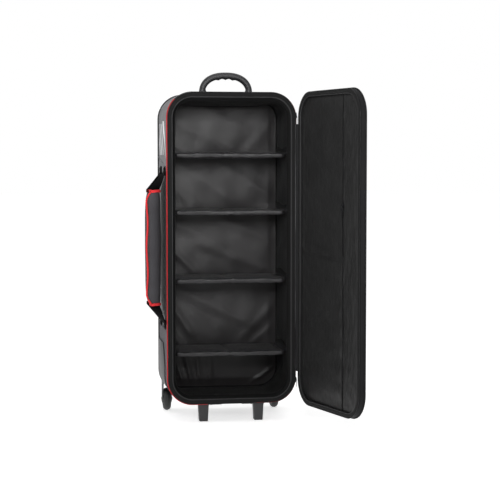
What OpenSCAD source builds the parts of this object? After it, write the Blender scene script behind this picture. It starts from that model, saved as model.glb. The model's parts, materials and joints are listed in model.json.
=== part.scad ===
// Tall wheeled ball bag: a padded fabric shell with a zipped door hinged on its right side,
// four adjustable shelves, a moulded top handle, a padded side handle, two rear wheels
// and two front feet. Millimetres, +Z up, opening towards -Y.
// The origin is on the floor, below the middle of the front opening.

/* [Body] */
// Width across the two sides
bag_w = 415; // [400:1:430]
// Height of the fabric body, without feet and handle
bag_h = 1000; // [980:5:1020]
// Depth from the front rim to the back panel
bag_d = 285; // [280:1:300]
// Outer radius of the four long corners
corner_r = 80; // [76:1:84]
// Height of the body's underside above the floor
floor_gap = 61; // [58:1:64]

/* [Walls] */
// Thickness of the outer fabric
fabric_t = 1.8; // [1.6:0.1:2]
// Thickness of the foam in the body's walls
foam_t = 10; // [9:0.5:11]
// Thickness of the lining
lining_t = 1.2; // [1:0.1:1.4]
// Thickness of the stiff boards in the back, base and top
board_t = 4; // [3:0.5:4]

/* [Door] */
// Depth of the door tray, from its rim to its outer face
door_d = 24; // [22:1:26]
// How far the door stands open as drawn
door_open = 105; // [0:0.5:180]
// Distance from the right wall out to the hinge line
hinge_out = 4; // [4:0.5:6]
// Distance from the hinge line to the pocket's zip
pocket_zip_reach = 297; // [280:1:310]
// Height of the pocket zip's slider above the floor
pocket_slider_z = 710; // [600:5:800]

/* [Shelves] */
// Height of each shelf's middle above the floor, from the top down
shelf_z = [861, 675, 454, 216];
// Thickness of a padded shelf
shelf_t = 16; // [12:1:18]
// Distance from the front rim back to a shelf's front edge
shelf_recess = 45; // [40:1:60]
// Gap between a shelf's end and the lining
shelf_end_gap = 13; // [11:1:16]
// Height of the hook-and-loop tabs at a shelf's ends
tab_h = 42; // [30:1:48]

/* [Top handle] */
// Outer width of the arch
handle_w = 176; // [170:1:182]
// Outer height of the arch
handle_h = 71; // [66:1:76]
// Thickness of the arch at the grip
grip_t = 21; // [18:1:23]
// Thickness of the arch at its ends
arch_end_t = 19; // [17:1:21]
// Width of the arch from front to back
handle_d = 28; // [24:1:30]
// Distance from the front rim to the handle's middle
handle_y = 145; // [140:1:150]

/* [Side handle] */
// Length of the padded grip
wrap_len = 377; // [370:1:395]
// Width of the padded grip from front to back
wrap_w = 112; // [106:1:124]
// Thickness of the padded grip
wrap_t = 44; // [38:1:46]
// Free gap between the padded grip and the wall
hand_gap = 13; // [12:0.5:20]
// Height of the grip's middle above the floor
wrap_z = 561; // [550:1:570]

/* [Wheels and feet] */
// Wheel radius
wheel_r = 38; // [36:1:39]
// Wheel width
wheel_w = 24; // [22:1:26]
// Distance from the middle of the bag to a wheel's middle plane
wheel_x = 184; // [182:1:185]
// Distance from the front rim back to the axles
wheel_y = 271; // [268:1:273]
// Height of the moulded corner guards above the body's underside
guard_h = 185; // [170:1:190]
// Distance from the middle of the bag to a foot's middle
foot_x = 90; // [84:1:92]
// Width of a foot where it meets the base
foot_top_w = 34; // [32:1:36]
// Width of a foot at the floor
foot_tip_w = 27; // [24:1:30]

/* [Hidden] */
$fn = 64;

// Levels and planes of the body
bag_top = floor_gap + bag_h;
bag_mid = floor_gap + bag_h / 2;
half_w = bag_w / 2;
foam_in = fabric_t + foam_t;
lining_in = foam_in + lining_t;
board_front = bag_d - fabric_t - board_t;
back_foam_t = 6;
lining_back = board_front - back_foam_t;
rim_t = 3.2;
rim_w = 14;
rim_bead_r = 2;
rim_bead_in = rim_w + 1.2;
// Centre of a long corner, measured from the bag's own middle
corner_x = half_w - corner_r;
corner_z = bag_h / 2 - corner_r;

// Zip and piping at the rim: each half of the zip stays on its own side of the closing plane
zip_gap = 0.4;
tape_w = 4.8;
tape_in = 0.4;
chain_r = 1;
chain_in = -0.6;
piping_r = 2.6;
piping_in = -1;
piping_y = 8;
back_piping_r = 2.4;
back_piping_in = -0.8;
back_piping_y = bag_d - 2.6;

// Hinge strip on the straight stretch of the right wall
hinge_x = half_w + hinge_out;
strip_t = 1.2;
strip_w = 25;
hinge_low = floor_gap + corner_r + 20;
hinge_high = bag_top - corner_r - 20;

// Door, drawn closed and then swung open about the hinge line
door_gap = 0.8;
door_fabric_t = 1.6;
door_foam_t = 8;
door_wall_in = 10.6;
door_lining_t = 1;
door_face = -door_d;
door_lining_y = door_face + door_fabric_t + door_foam_t + door_lining_t;
door_rim_back = -door_gap - 3;
pocket_t = 1.2;
pocket_y = door_lining_y + 0.1;
pocket_face = pocket_y + pocket_t;
pocket_x = hinge_x - pocket_zip_reach;
pocket_zip_w = 14;
pocket_zip_low = floor_gap + 110;
pocket_zip_high = bag_top - 75;
pocket_chain_r = 1.1;
pocket_chain_y = pocket_face + pocket_chain_r;
pocket_slider_t = 4.2;
pocket_slider_top = pocket_face + 0.3 + pocket_slider_t;
pull_pin_y = pocket_slider_top + 2.4;
pull_pin_z = pocket_slider_z - 2;

// Screws
screw_r = 2.5;
screw_hole_r = 2.6;
screw_head_r = 3.6;
screw_head_t = 2.5;
arch_x = handle_w / 2 - arch_end_t / 2;
flange_t = 5;
flange_w = 44;
flange_d = 46;
handle_screw_dy = 18.5;
foot_y = 40;
foot_d = 28;
foot_plate_t = 5;
foot_plate_reach = 40;
foot_screw_dx = 24;
foot_screw_dy = 19;
guard_screw_x = 150;
guard_screw_z = [floor_gap + 60, floor_gap + 150];

// Wheels: bearings of 22 by 7 mm on 8 mm axles
guard_t = 3;
guard_front = 95;
axle_r = 4;
bearing_r = 11;
bearing_w = 7;
bearing_bore_r = axle_r + 0.05;
hub_r = 26;
tread_curve_r = 14;
cheek_t = 3;
cheek_gap = 1;
cheek_in = wheel_w / 2 + cheek_gap;
wheel_space = 3.2;

// Side handle
wrap_x = -half_w - hand_gap - wrap_t / 2;
wrap_y = 135;
wrap_wall_t = 14;
binding_w = 9;
strap_w = 38;
strap_t = 2.5;
strap_root_dy = 60;
strap_end_dy = 26;
strap_root_dz = 226;
anchor_h = 42;

// The bag's front outline, moved inwards by inset
module outline(inset) {
    w = bag_w - 2 * inset;
    h = bag_h - 2 * inset;
    r = corner_r - inset;
    translate([0, bag_mid]) {
        square([w, h - 2 * r], center = true);
        square([w - 2 * r, h], center = true);
        for (sx = [-1, 1], sz = [-1, 1])
            translate([sx * corner_x, sz * corner_z]) circle(r);
    }
}

// A flat shape drawn in X and Z, made solid from y0 to y1
module between(y0, y1)
    translate([0, y1, 0]) rotate([90, 0, 0]) linear_extrude(y1 - y0) children();

module slab(inset, y0, y1) between(y0, y1) outline(inset);

module frame(outer_in, inner_in, y0, y1)
    between(y0, y1) difference() {
        outline(outer_in);
        outline(inner_in);
    }

// A round cord laid along the outline
module bead(inset, r, y)
    translate([0, y, bag_mid]) rotate([90, 0, 0]) {
        for (quarter = [[1, 1, 0], [-1, 1, 90], [-1, -1, 180], [1, -1, 270]])
            translate([quarter.x * corner_x, quarter.y * corner_z, 0])
                rotate([0, 0, quarter.z])
                    rotate_extrude(angle = 90) translate([corner_r - inset, 0]) circle(r);
        for (s = [-1, 1]) {
            translate([s * (half_w - inset), 0, 0])
                rotate([90, 0, 0]) cylinder(r = r, h = 2 * corner_z, center = true);
            translate([0, s * (bag_h / 2 - inset), 0])
                rotate([0, 90, 0]) cylinder(r = r, h = 2 * corner_x, center = true);
        }
    }

// The stretch of the right edge where the hinge strip takes the place of zip and piping
module hinge_zone()
    translate([half_w - 10, -50, hinge_low]) cube([20, 100, hinge_high - hinge_low]);

module block(x, y, z) translate([x[0], y[0], z[0]]) cube([x[1] - x[0], y[1] - y[0], z[1] - z[0]]);

// Places for the screws' axes
module at_handle_screws()
    for (sx = [-1, 1], sy = [-1, 1])
        translate([sx * arch_x, handle_y + sy * handle_screw_dy, bag_top]) children();

module at_foot_screws()
    for (sx = [-1, 1], sy = [-1, 1])
        translate([sx * (foot_x - foot_screw_dx), foot_y + sy * foot_screw_dy, floor_gap]) children();

module at_housing_screws(sides = [-1, 1])
    for (sx = sides, z = guard_screw_z)
        translate([sx * guard_screw_x, bag_d, z]) rotate([-90, 0, 0]) children();

module screw_hole() cylinder(r = screw_hole_r, h = 40, center = true);

// A screw whose head sits on a plate of the given thickness, and its shank reaches down by reach
module screw(plate_t, reach) {
    translate([0, 0, plate_t]) cylinder(r = screw_head_r, h = screw_head_t);
    translate([0, 0, -reach]) cylinder(r = screw_r, h = plate_t + reach);
}

screw_reach = fabric_t + board_t - 0.1;

// ---- Body ----

module side_fabric()
    color("dimgray") difference() {
        frame(0, fabric_t, piping_y + piping_r, back_piping_y - back_piping_r);
        at_handle_screws() screw_hole();
        at_foot_screws() screw_hole();
    }

module back_fabric()
    color([0.1, 0.1, 0.1]) difference() {
        slab(2, bag_d - fabric_t, bag_d);
        at_housing_screws() screw_hole();
    }

module wall_foam()
    color("gainsboro") difference() {
        frame(fabric_t, foam_in, rim_t, board_front);
        base_board_space();
        top_board_space();
    }

module back_foam() color("gainsboro") slab(foam_in, lining_back, board_front);

module back_board()
    color("black") difference() {
        slab(fabric_t, board_front, board_front + board_t);
        at_housing_screws() screw_hole();
    }

module base_board_space()
    block([-125, 125], [14, 262], [floor_gap + fabric_t, floor_gap + fabric_t + board_t]);

module top_board_space()
    block([-115, 115], [100, 190], [bag_top - fabric_t - board_t, bag_top - fabric_t]);

module base_board()
    color("black") difference() {
        base_board_space();
        at_foot_screws() screw_hole();
    }

module top_board()
    color("black") difference() {
        top_board_space();
        at_handle_screws() screw_hole();
    }

module lining()
    color([0.15, 0.15, 0.15]) {
        frame(foam_in, lining_in, rim_t, lining_back);
        slab(lining_in, lining_back - lining_t, lining_back);
    }

module rim_binding()
    color([0.2, 0.17, 0.15]) {
        frame(fabric_t, rim_w, 0, rim_t);
        bead(rim_bead_in, rim_bead_r, rim_bead_r + 0.2);
    }

module red_piping()
    color("firebrick") difference() {
        bead(piping_in, piping_r, piping_y);
        hinge_zone();
    }

module back_piping()
    color("black") difference() {
        bead(back_piping_in, back_piping_r, back_piping_y);
        for (side = [-1, 1]) guard_zone(side);
    }

module body_zip_tape()
    color("black") difference() {
        frame(tape_in, fabric_t, zip_gap, zip_gap + tape_w);
        hinge_zone();
    }

module body_zip_chain()
    color([0.15, 0.15, 0.15]) difference() {
        bead(chain_in, chain_r, zip_gap + chain_r);
        hinge_zone();
    }

module hinge_strip_body()
    color("black") block([half_w, half_w + strip_t], [zip_gap, strip_w], [hinge_low, hinge_high]);

// ---- Top handle ----

// Points of an elliptic arch of half width a and height b, from right to left
function arch(a, b, n = 40) = [for (i = [0 : n]) [a * cos(180 * i / n), b * sin(180 * i / n)]];

finger_pitch = 23;
finger_ridge = 4;

module top_handle()
    color([0.27, 0.27, 0.27]) difference() {
        union() {
            translate([0, 0, bag_top]) between(handle_y - handle_d / 2, handle_y + handle_d / 2) {
                difference() {
                    polygon(arch(handle_w / 2, handle_h));
                    polygon(arch(handle_w / 2 - arch_end_t, handle_h - grip_t));
                }
                // Ridges between the fingers, under the grip
                for (i = [-1, 0, 1])
                    polygon([
                        [i * finger_pitch - 9, handle_h - grip_t + 1],
                        [i * finger_pitch, handle_h - grip_t - finger_ridge],
                        [i * finger_pitch + 9, handle_h - grip_t + 1]
                    ]);
                // Gussets on the inner side of the arch's ends
                for (s = [-1, 1])
                    polygon([
                        [s * (arch_x + 2), 0], [s * (arch_x - 20), 0], [s * (arch_x - 6), 16],
                        [s * (arch_x + 2), 16]
                    ]);
            }
            for (s = [-1, 1])
                translate([s * arch_x - flange_w / 2, handle_y - flange_d / 2, bag_top])
                    cube([flange_w, flange_d, flange_t]);
        }
        at_handle_screws() screw_hole();
    }

module handle_screws() color("silver") at_handle_screws() screw(flange_t, screw_reach);

// ---- Side handle ----

module at_straps(sides)
    for (s = sides, up = [-1, 1])
        translate([0, wrap_y, wrap_z]) mirror([0, 0, up < 0 ? 1 : 0]) mirror([0, s < 0 ? 1 : 0, 0])
            children();

module strap_anchors()
    color([0.08, 0.08, 0.08]) at_straps([-1, 1])
        translate([-half_w - strap_t, strap_root_dy - strap_w / 2, strap_root_dz - 12])
            cube([strap_t, strap_w, anchor_h]);

// One end of a strap: flat on its anchor at the wall, it turns edge on to the grip, where the
// two straps lie face to face, and stops just short of the padding
module strap_run()
    hull() {
        translate([-half_w - 2 * strap_t, strap_root_dy - strap_w / 2, strap_root_dz + 18])
            cube([strap_t, strap_w, 8]);
        translate([wrap_x - strap_w / 2, strap_end_dy - strap_t / 2, wrap_len / 2 + 1.5])
            cube([strap_w, strap_t, 4]);
    }

module side_strap_front() color([0.08, 0.08, 0.08]) at_straps([-1]) strap_run();

module side_strap_rear() color([0.08, 0.08, 0.08]) at_straps([1]) strap_run();

module wrap_outline(grow) {
    r = wrap_t / 2 + grow;
    for (s = [-1, 1]) translate([wrap_x, wrap_y + s * (wrap_w - wrap_t) / 2]) circle(r);
    translate([wrap_x, wrap_y]) square([2 * r, wrap_w - wrap_t], center = true);
}

module wrap_tube(z0, z1)
    translate([0, 0, z0]) linear_extrude(z1 - z0) difference() {
        wrap_outline(0);
        wrap_outline(-wrap_wall_t);
    }

wrap_low = wrap_z - wrap_len / 2;
wrap_high = wrap_z + wrap_len / 2;

module side_wrap() color([0.3, 0.3, 0.3]) wrap_tube(wrap_low + binding_w, wrap_high - binding_w);

module side_wrap_binding()
    color("indianred") {
        wrap_tube(wrap_low, wrap_low + binding_w);
        wrap_tube(wrap_high - binding_w, wrap_high);
    }

module side_grip_core()
    color("black") translate([0, 0, wrap_low + 2]) linear_extrude(wrap_len - 4)
        wrap_outline(-wrap_wall_t - 0.2);

// ---- Wheels and feet ----

// The corner of the bag that a moulded guard covers: a sloping front edge, full height at the back
module guard_zone(side)
    mirror([side < 0 ? 1 : 0, 0, 0]) translate([108, 0, 0]) rotate([90, 0, 90])
        linear_extrude(110) polygon([
            [guard_front + 60, 0], [guard_front, floor_gap + 40], [guard_front, floor_gap + 120],
            [guard_front + 45, floor_gap + guard_h], [bag_d + 20, floor_gap + guard_h],
            [bag_d + 20, 0]
        ]);

module at_wheel(side)
    translate([side * wheel_x, wheel_y, wheel_r]) rotate([0, 90, 0]) children();

// One cheek beside the wheel: a round boss at the axle that widens up to the guard
module cheek_shape() {
    circle(13);
    polygon([[-13, 0], [13, 0], [bag_d - wheel_y, 45], [bag_d - wheel_y, 90], [-44, 90]]);
}

module wheel_housing(side)
    color([0.2, 0.2, 0.2]) difference() {
        union() {
            intersection() {
                slab(-guard_t, guard_front - 5, bag_d + guard_t);
                guard_zone(side);
            }
            for (s = [-1, 1])
                translate([side * wheel_x + s * (cheek_in + cheek_t / 2), wheel_y, wheel_r])
                    rotate([90, 0, 90]) linear_extrude(cheek_t, center = true) cheek_shape();
        }
        slab(0, 0, bag_d);
        // Room above the wheel
        at_wheel(side) cylinder(r = wheel_r + wheel_space, h = 2 * cheek_in, center = true);
        at_wheel(side) cylinder(r = bearing_bore_r, h = 60, center = true);
        at_housing_screws([side]) screw_hole();
    }

module wheel_housing_left() wheel_housing(-1);

module wheel_housing_right() wheel_housing(1);

module housing_screws() color("silver") at_housing_screws() screw(guard_t, screw_reach);

module axles()
    color("silver") for (side = [-1, 1]) at_wheel(side) {
        cylinder(r = axle_r, h = 2 * (cheek_in + cheek_t), center = true);
        for (s = [-1, 1])
            translate([0, 0, s * (cheek_in + cheek_t + 1.5)]) cylinder(r = 6.5, h = 3, center = true);
    }

module tyre(side)
    color([0.15, 0.15, 0.15]) at_wheel(side) rotate_extrude($fn = 96) intersection() {
        translate([wheel_r - tread_curve_r, 0]) circle(tread_curve_r);
        translate([hub_r, -wheel_w / 2]) square([20, wheel_w]);
    }

module hub(side)
    color([0.3, 0.3, 0.3]) at_wheel(side) rotate_extrude($fn = 96) polygon([
        [5.2, -5], [bearing_r, -5], [bearing_r, -wheel_w / 2], [14, -wheel_w / 2], [17, -8], [22, -8],
        [hub_r, -10.5], [hub_r, 10.5], [22, 8], [17, 8], [14, wheel_w / 2], [bearing_r, wheel_w / 2],
        [bearing_r, 5], [5.2, 5]
    ]);

module bearings(side)
    color("silver") at_wheel(side) for (s = [-1, 1])
        translate([0, 0, s * (wheel_w / 2 - bearing_w / 2)]) difference() {
            cylinder(r = bearing_r, h = bearing_w, center = true, $fn = 96);
            cylinder(r = bearing_bore_r, h = bearing_w + 1, center = true);
        }

module tyre_left() tyre(-1);

module tyre_right() tyre(1);

module hub_left() hub(-1);

module hub_right() hub(1);

module bearings_left() bearings(-1);

module bearings_right() bearings(1);

module foot(side)
    color([0.27, 0.27, 0.27]) difference() {
        mirror([side < 0 ? 1 : 0, 0, 0]) union() {
            between(foot_y - foot_d / 2, foot_y + foot_d / 2) polygon([
                [foot_x - foot_tip_w / 2, 0], [foot_x + foot_tip_w / 2, 0],
                [foot_x + foot_top_w / 2, floor_gap], [foot_x - foot_top_w / 2, floor_gap]
            ]);
            block([foot_x - foot_top_w / 2 - foot_plate_reach, foot_x + foot_top_w / 2],
                  [foot_y - 26, foot_y + 26], [floor_gap - foot_plate_t, floor_gap]);
        }
        at_foot_screws() screw_hole();
    }

module foot_left() foot(-1);

module foot_right() foot(1);

module foot_screws()
    color("silver") at_foot_screws() mirror([0, 0, 1]) screw(foot_plate_t, screw_reach);

// ---- Door ----

module on_door()
    translate([hinge_x, 0, 0]) rotate([0, 0, door_open]) translate([-hinge_x, 0, 0]) children();

module door_fabric()
    color([0.2, 0.2, 0.2]) on_door() {
        slab(0, door_face, door_face + door_fabric_t);
        frame(0, door_fabric_t, door_face, -door_gap - tape_w);
    }

module door_foam()
    color("gainsboro") on_door() {
        slab(door_fabric_t, door_face + door_fabric_t, door_lining_y - door_lining_t);
        frame(door_fabric_t, door_wall_in, door_face + door_fabric_t, door_rim_back);
    }

module door_lining()
    color([0.15, 0.15, 0.15]) on_door() {
        slab(door_wall_in, door_lining_y - door_lining_t, door_lining_y);
        frame(door_wall_in, door_wall_in + door_lining_t, door_lining_y - door_lining_t, door_rim_back);
    }

module door_rim_binding()
    color([0.2, 0.17, 0.15]) on_door() {
        frame(door_fabric_t, door_wall_in + 2, door_rim_back, -door_gap);
        bead(door_wall_in + 3, rim_bead_r - 0.2, -door_gap - rim_bead_r);
    }

module door_piping()
    color("black") on_door() difference() {
        bead(piping_in, piping_r, door_face + piping_r);
        slab(0, door_face - 5, 0);
    }

module door_zip_tape()
    color("black") on_door() difference() {
        frame(tape_in, door_fabric_t, -door_gap - tape_w, -door_gap);
        hinge_zone();
    }

module door_zip_chain()
    color([0.15, 0.15, 0.15]) on_door() difference() {
        bead(chain_in, chain_r, -door_gap - chain_r);
        hinge_zone();
    }

module hinge_strip_door()
    color("black") on_door()
        block([half_w, half_w + strip_t], [-18, -door_gap], [hinge_low, hinge_high]);

module pocket_zip_space()
    block([pocket_x - pocket_zip_w / 2, pocket_x + pocket_zip_w / 2], [pocket_y, pocket_face],
          [pocket_zip_low, pocket_zip_high]);

module pocket_panel()
    color([0.18, 0.18, 0.18]) on_door() difference() {
        slab(door_wall_in + door_lining_t + 1, pocket_y, pocket_face);
        pocket_zip_space();
    }

module pocket_zip_tape() color("black") on_door() pocket_zip_space();

module pocket_zip_chain()
    color([0.15, 0.15, 0.15]) on_door() translate([pocket_x, pocket_chain_y, pocket_zip_low])
        cylinder(r = pocket_chain_r, h = pocket_zip_high - pocket_zip_low);

module pocket_slider()
    color("darkgray") on_door() {
        difference() {
            block([pocket_x - 5, pocket_x + 5], [pocket_face + 0.3, pocket_slider_top],
                  [pocket_slider_z - 7, pocket_slider_z + 7]);
            // Channel that runs along the chain
            block([pocket_x - pocket_chain_r - 0.4, pocket_x + pocket_chain_r + 0.4],
                  [pocket_face, pocket_face + 2 * pocket_chain_r + 0.4],
                  [pocket_slider_z - 8, pocket_slider_z + 8]);
        }
        for (s = [-1, 1])
            translate([pocket_x + s * 2 - 0.5, pocket_slider_top - 0.2, pull_pin_z - 2])
                cube([1, 3.9, 4]);
        translate([pocket_x, pull_pin_y, pull_pin_z]) rotate([0, 90, 0])
            cylinder(r = 0.9, h = 4, center = true);
    }

module pocket_pull()
    color("darkgray") on_door() difference() {
        union() {
            translate([pocket_x, pull_pin_y, pull_pin_z]) rotate([0, 90, 0])
                cylinder(r = 2, h = 2.4, center = true);
            block([pocket_x - 1.2, pocket_x + 1.2], [pull_pin_y - 0.7, pull_pin_y + 0.7],
                  [pull_pin_z - 5, pull_pin_z - 1.4]);
            block([pocket_x - 3, pocket_x + 3], [pull_pin_y - 0.7, pull_pin_y + 0.7],
                  [pull_pin_z - 40, pull_pin_z - 4]);
        }
        translate([pocket_x, pull_pin_y, pull_pin_z]) rotate([0, 90, 0])
            cylinder(r = 0.95, h = 5, center = true);
    }

// ---- Main zip sliders, parked at the two ends of the hinge ----

slider_sweep = 12;
slider_out = 1.8;
slider_t = 1.5;

// Drawn for the upper corner, mirrored for the lower one
module at_zip_corner(side)
    translate([0, 0, bag_mid]) mirror([0, 0, side < 0 ? 1 : 0]) translate([corner_x, 0, corner_z])
        children();

module zip_slider(side)
    color("darkgray") at_zip_corner(side) {
        rotate([90, 0, 0]) rotate_extrude(angle = slider_sweep, $fn = 96) {
            translate([corner_r + slider_out, -5.2]) square([slider_t, 4.6]);
            translate([corner_r + 0.1, -5.2]) square([slider_out, 1.8]);
        }
        // Lug that holds the pull
        block([corner_r + slider_out + slider_t - 0.1, corner_r + slider_out + slider_t + 0.9],
              [1.8, 4.2], [2.4, 6.4]);
    }

// The pull hangs from the lug in the straight line of the side wall
module zip_pull(side)
    color("darkgray") at_zip_corner(side)
        block([corner_r + slider_out + slider_t + 0.1, corner_r + slider_out + slider_t + 1.3],
              [1.2, 4.8], side > 0 ? [-24, 2.3] : [6.5, 32]);

module zip_slider_upper() zip_slider(1);

module zip_pull_upper() zip_pull(1);

module zip_slider_lower() zip_slider(-1);

module zip_pull_lower() zip_pull(-1);

// ---- Shelves ----

shelf_half = half_w - lining_in - shelf_end_gap;
shelf_back = lining_back - lining_t - 1.5;
tab_gap = 0.4;
tab_t = 2;

module shelf(i)
    color([0.22, 0.22, 0.22])
        block([-shelf_half, shelf_half], [shelf_recess, shelf_back],
              [shelf_z[i] - shelf_t / 2, shelf_z[i] + shelf_t / 2]);

// Tabs that reach from the shelf's ends to the side walls and turn up against the lining
module shelf_tabs(i)
    color([0.18, 0.18, 0.18]) for (side = [0, 1]) mirror([side, 0, 0]) {
        wall = half_w - lining_in - tab_gap;
        block([shelf_half, wall], [shelf_recess + 6, shelf_back - 12],
              [shelf_z[i] - 1, shelf_z[i] - 1 + tab_t]);
        block([wall - tab_t, wall], [shelf_recess + 6, shelf_back - 12],
              [shelf_z[i] - 1, shelf_z[i] + tab_h]);
    }

module shelf_1() shelf(0);

module shelf_2() shelf(1);

module shelf_3() shelf(2);

module shelf_4() shelf(3);

module shelf_tabs_1() shelf_tabs(0);

module shelf_tabs_2() shelf_tabs(1);

module shelf_tabs_3() shelf_tabs(2);

module shelf_tabs_4() shelf_tabs(3);

side_fabric();
back_fabric();
wall_foam();
back_foam();
back_board();
base_board();
top_board();
lining();
rim_binding();
red_piping();
back_piping();
body_zip_tape();
body_zip_chain();
hinge_strip_body();
top_handle();
handle_screws();
strap_anchors();
side_strap_front();
side_strap_rear();
wheel_housing_left();
wheel_housing_right();
housing_screws();
axles();
foot_left();
foot_right();
foot_screws();
side_wrap();
side_wrap_binding();
side_grip_core();
door_fabric();
door_foam();
door_lining();
door_rim_binding();
door_piping();
door_zip_tape();
door_zip_chain();
hinge_strip_door();
pocket_panel();
pocket_zip_tape();
pocket_zip_chain();
pocket_slider();
pocket_pull();
zip_slider_upper();
zip_pull_upper();
zip_slider_lower();
zip_pull_lower();
shelf_1();
shelf_2();
shelf_3();
shelf_4();
shelf_tabs_1();
shelf_tabs_2();
shelf_tabs_3();
shelf_tabs_4();
tyre_left();
tyre_right();
hub_left();
hub_right();
bearings_left();
bearings_right();
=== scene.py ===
"""The looks of a tall wheeled ball bag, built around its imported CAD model.

Sizes are in metres. +Z is up, the opening faces -Y, and the door hangs on the +X side.
The door's pieces are modelled closed and then swung open about the hinge line.
"""

import json
import logging
import math
from collections.abc import Callable, Mapping, Sequence
from dataclasses import dataclass
from enum import Enum, IntEnum

import bmesh
import bpy
import numpy as np
from mathutils import Matrix, Vector

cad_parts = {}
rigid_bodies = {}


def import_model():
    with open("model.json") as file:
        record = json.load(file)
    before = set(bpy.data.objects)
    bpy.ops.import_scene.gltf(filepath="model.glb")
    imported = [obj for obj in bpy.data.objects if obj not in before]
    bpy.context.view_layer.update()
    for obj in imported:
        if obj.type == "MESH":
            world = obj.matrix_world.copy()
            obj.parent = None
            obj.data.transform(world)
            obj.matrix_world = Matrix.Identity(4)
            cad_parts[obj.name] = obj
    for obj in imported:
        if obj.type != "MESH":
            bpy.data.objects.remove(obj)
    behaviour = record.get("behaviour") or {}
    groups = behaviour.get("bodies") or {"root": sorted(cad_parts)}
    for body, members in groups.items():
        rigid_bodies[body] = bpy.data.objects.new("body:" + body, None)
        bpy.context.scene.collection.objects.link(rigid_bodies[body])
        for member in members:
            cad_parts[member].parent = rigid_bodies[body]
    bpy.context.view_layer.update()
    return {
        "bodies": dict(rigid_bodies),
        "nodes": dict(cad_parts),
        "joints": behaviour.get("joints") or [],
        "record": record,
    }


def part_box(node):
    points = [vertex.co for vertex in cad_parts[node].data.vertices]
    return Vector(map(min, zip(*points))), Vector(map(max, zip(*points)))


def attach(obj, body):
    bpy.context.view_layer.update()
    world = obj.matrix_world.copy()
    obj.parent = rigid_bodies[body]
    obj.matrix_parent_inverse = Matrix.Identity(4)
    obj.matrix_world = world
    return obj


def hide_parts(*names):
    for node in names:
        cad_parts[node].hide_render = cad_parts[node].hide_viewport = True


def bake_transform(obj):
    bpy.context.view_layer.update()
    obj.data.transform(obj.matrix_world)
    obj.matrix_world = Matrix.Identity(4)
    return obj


LOG = logging.getLogger("ball_bag")
MM = 0.001

Colour = tuple[float, float, float, float]
Shape = Callable[[np.ndarray, np.ndarray], np.ndarray]


# ---- Shader wiring ----


class Value:
    """The output of a shader node, which takes part in arithmetic by adding Math nodes."""

    def __init__(self, board: "Board", socket: bpy.types.NodeSocket) -> None:
        """Wraps one output socket of the board's node tree."""
        self.board = board
        self.socket = socket

    def _math(self, operation: str, *terms: "Value | float") -> "Value":
        """A Math node on the terms, in order."""
        return self.board.node("ShaderNodeMath", {"operation": operation}, dict(enumerate(terms)))

    def __add__(self, other: "Value | float") -> "Value":
        """The sum."""
        return self._math("ADD", self, other)

    def __mul__(self, other: "Value | float") -> "Value":
        """The product."""
        return self._math("MULTIPLY", self, other)

    def __sub__(self, other: "Value | float") -> "Value":
        """The difference."""
        return self._math("SUBTRACT", self, other)

    def __rsub__(self, other: float) -> "Value":
        """A number less this value."""
        return self._math("SUBTRACT", other, self)

    __radd__ = __add__
    __rmul__ = __mul__

    def sin(self) -> "Value":
        """The sine, of an angle in radians."""
        return self._math("SINE", self)

    def size(self) -> "Value":
        """The absolute value."""
        return self._math("ABSOLUTE", self)

    def rise(self, low: float, high: float) -> "Value":
        """A smooth step from 0 at low to 1 at high; low may be the larger."""
        ends = {"Value": self, "From Min": low, "From Max": high}
        return self.board.node("ShaderNodeMapRange", {"interpolation_type": "SMOOTHSTEP"}, ends)


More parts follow.
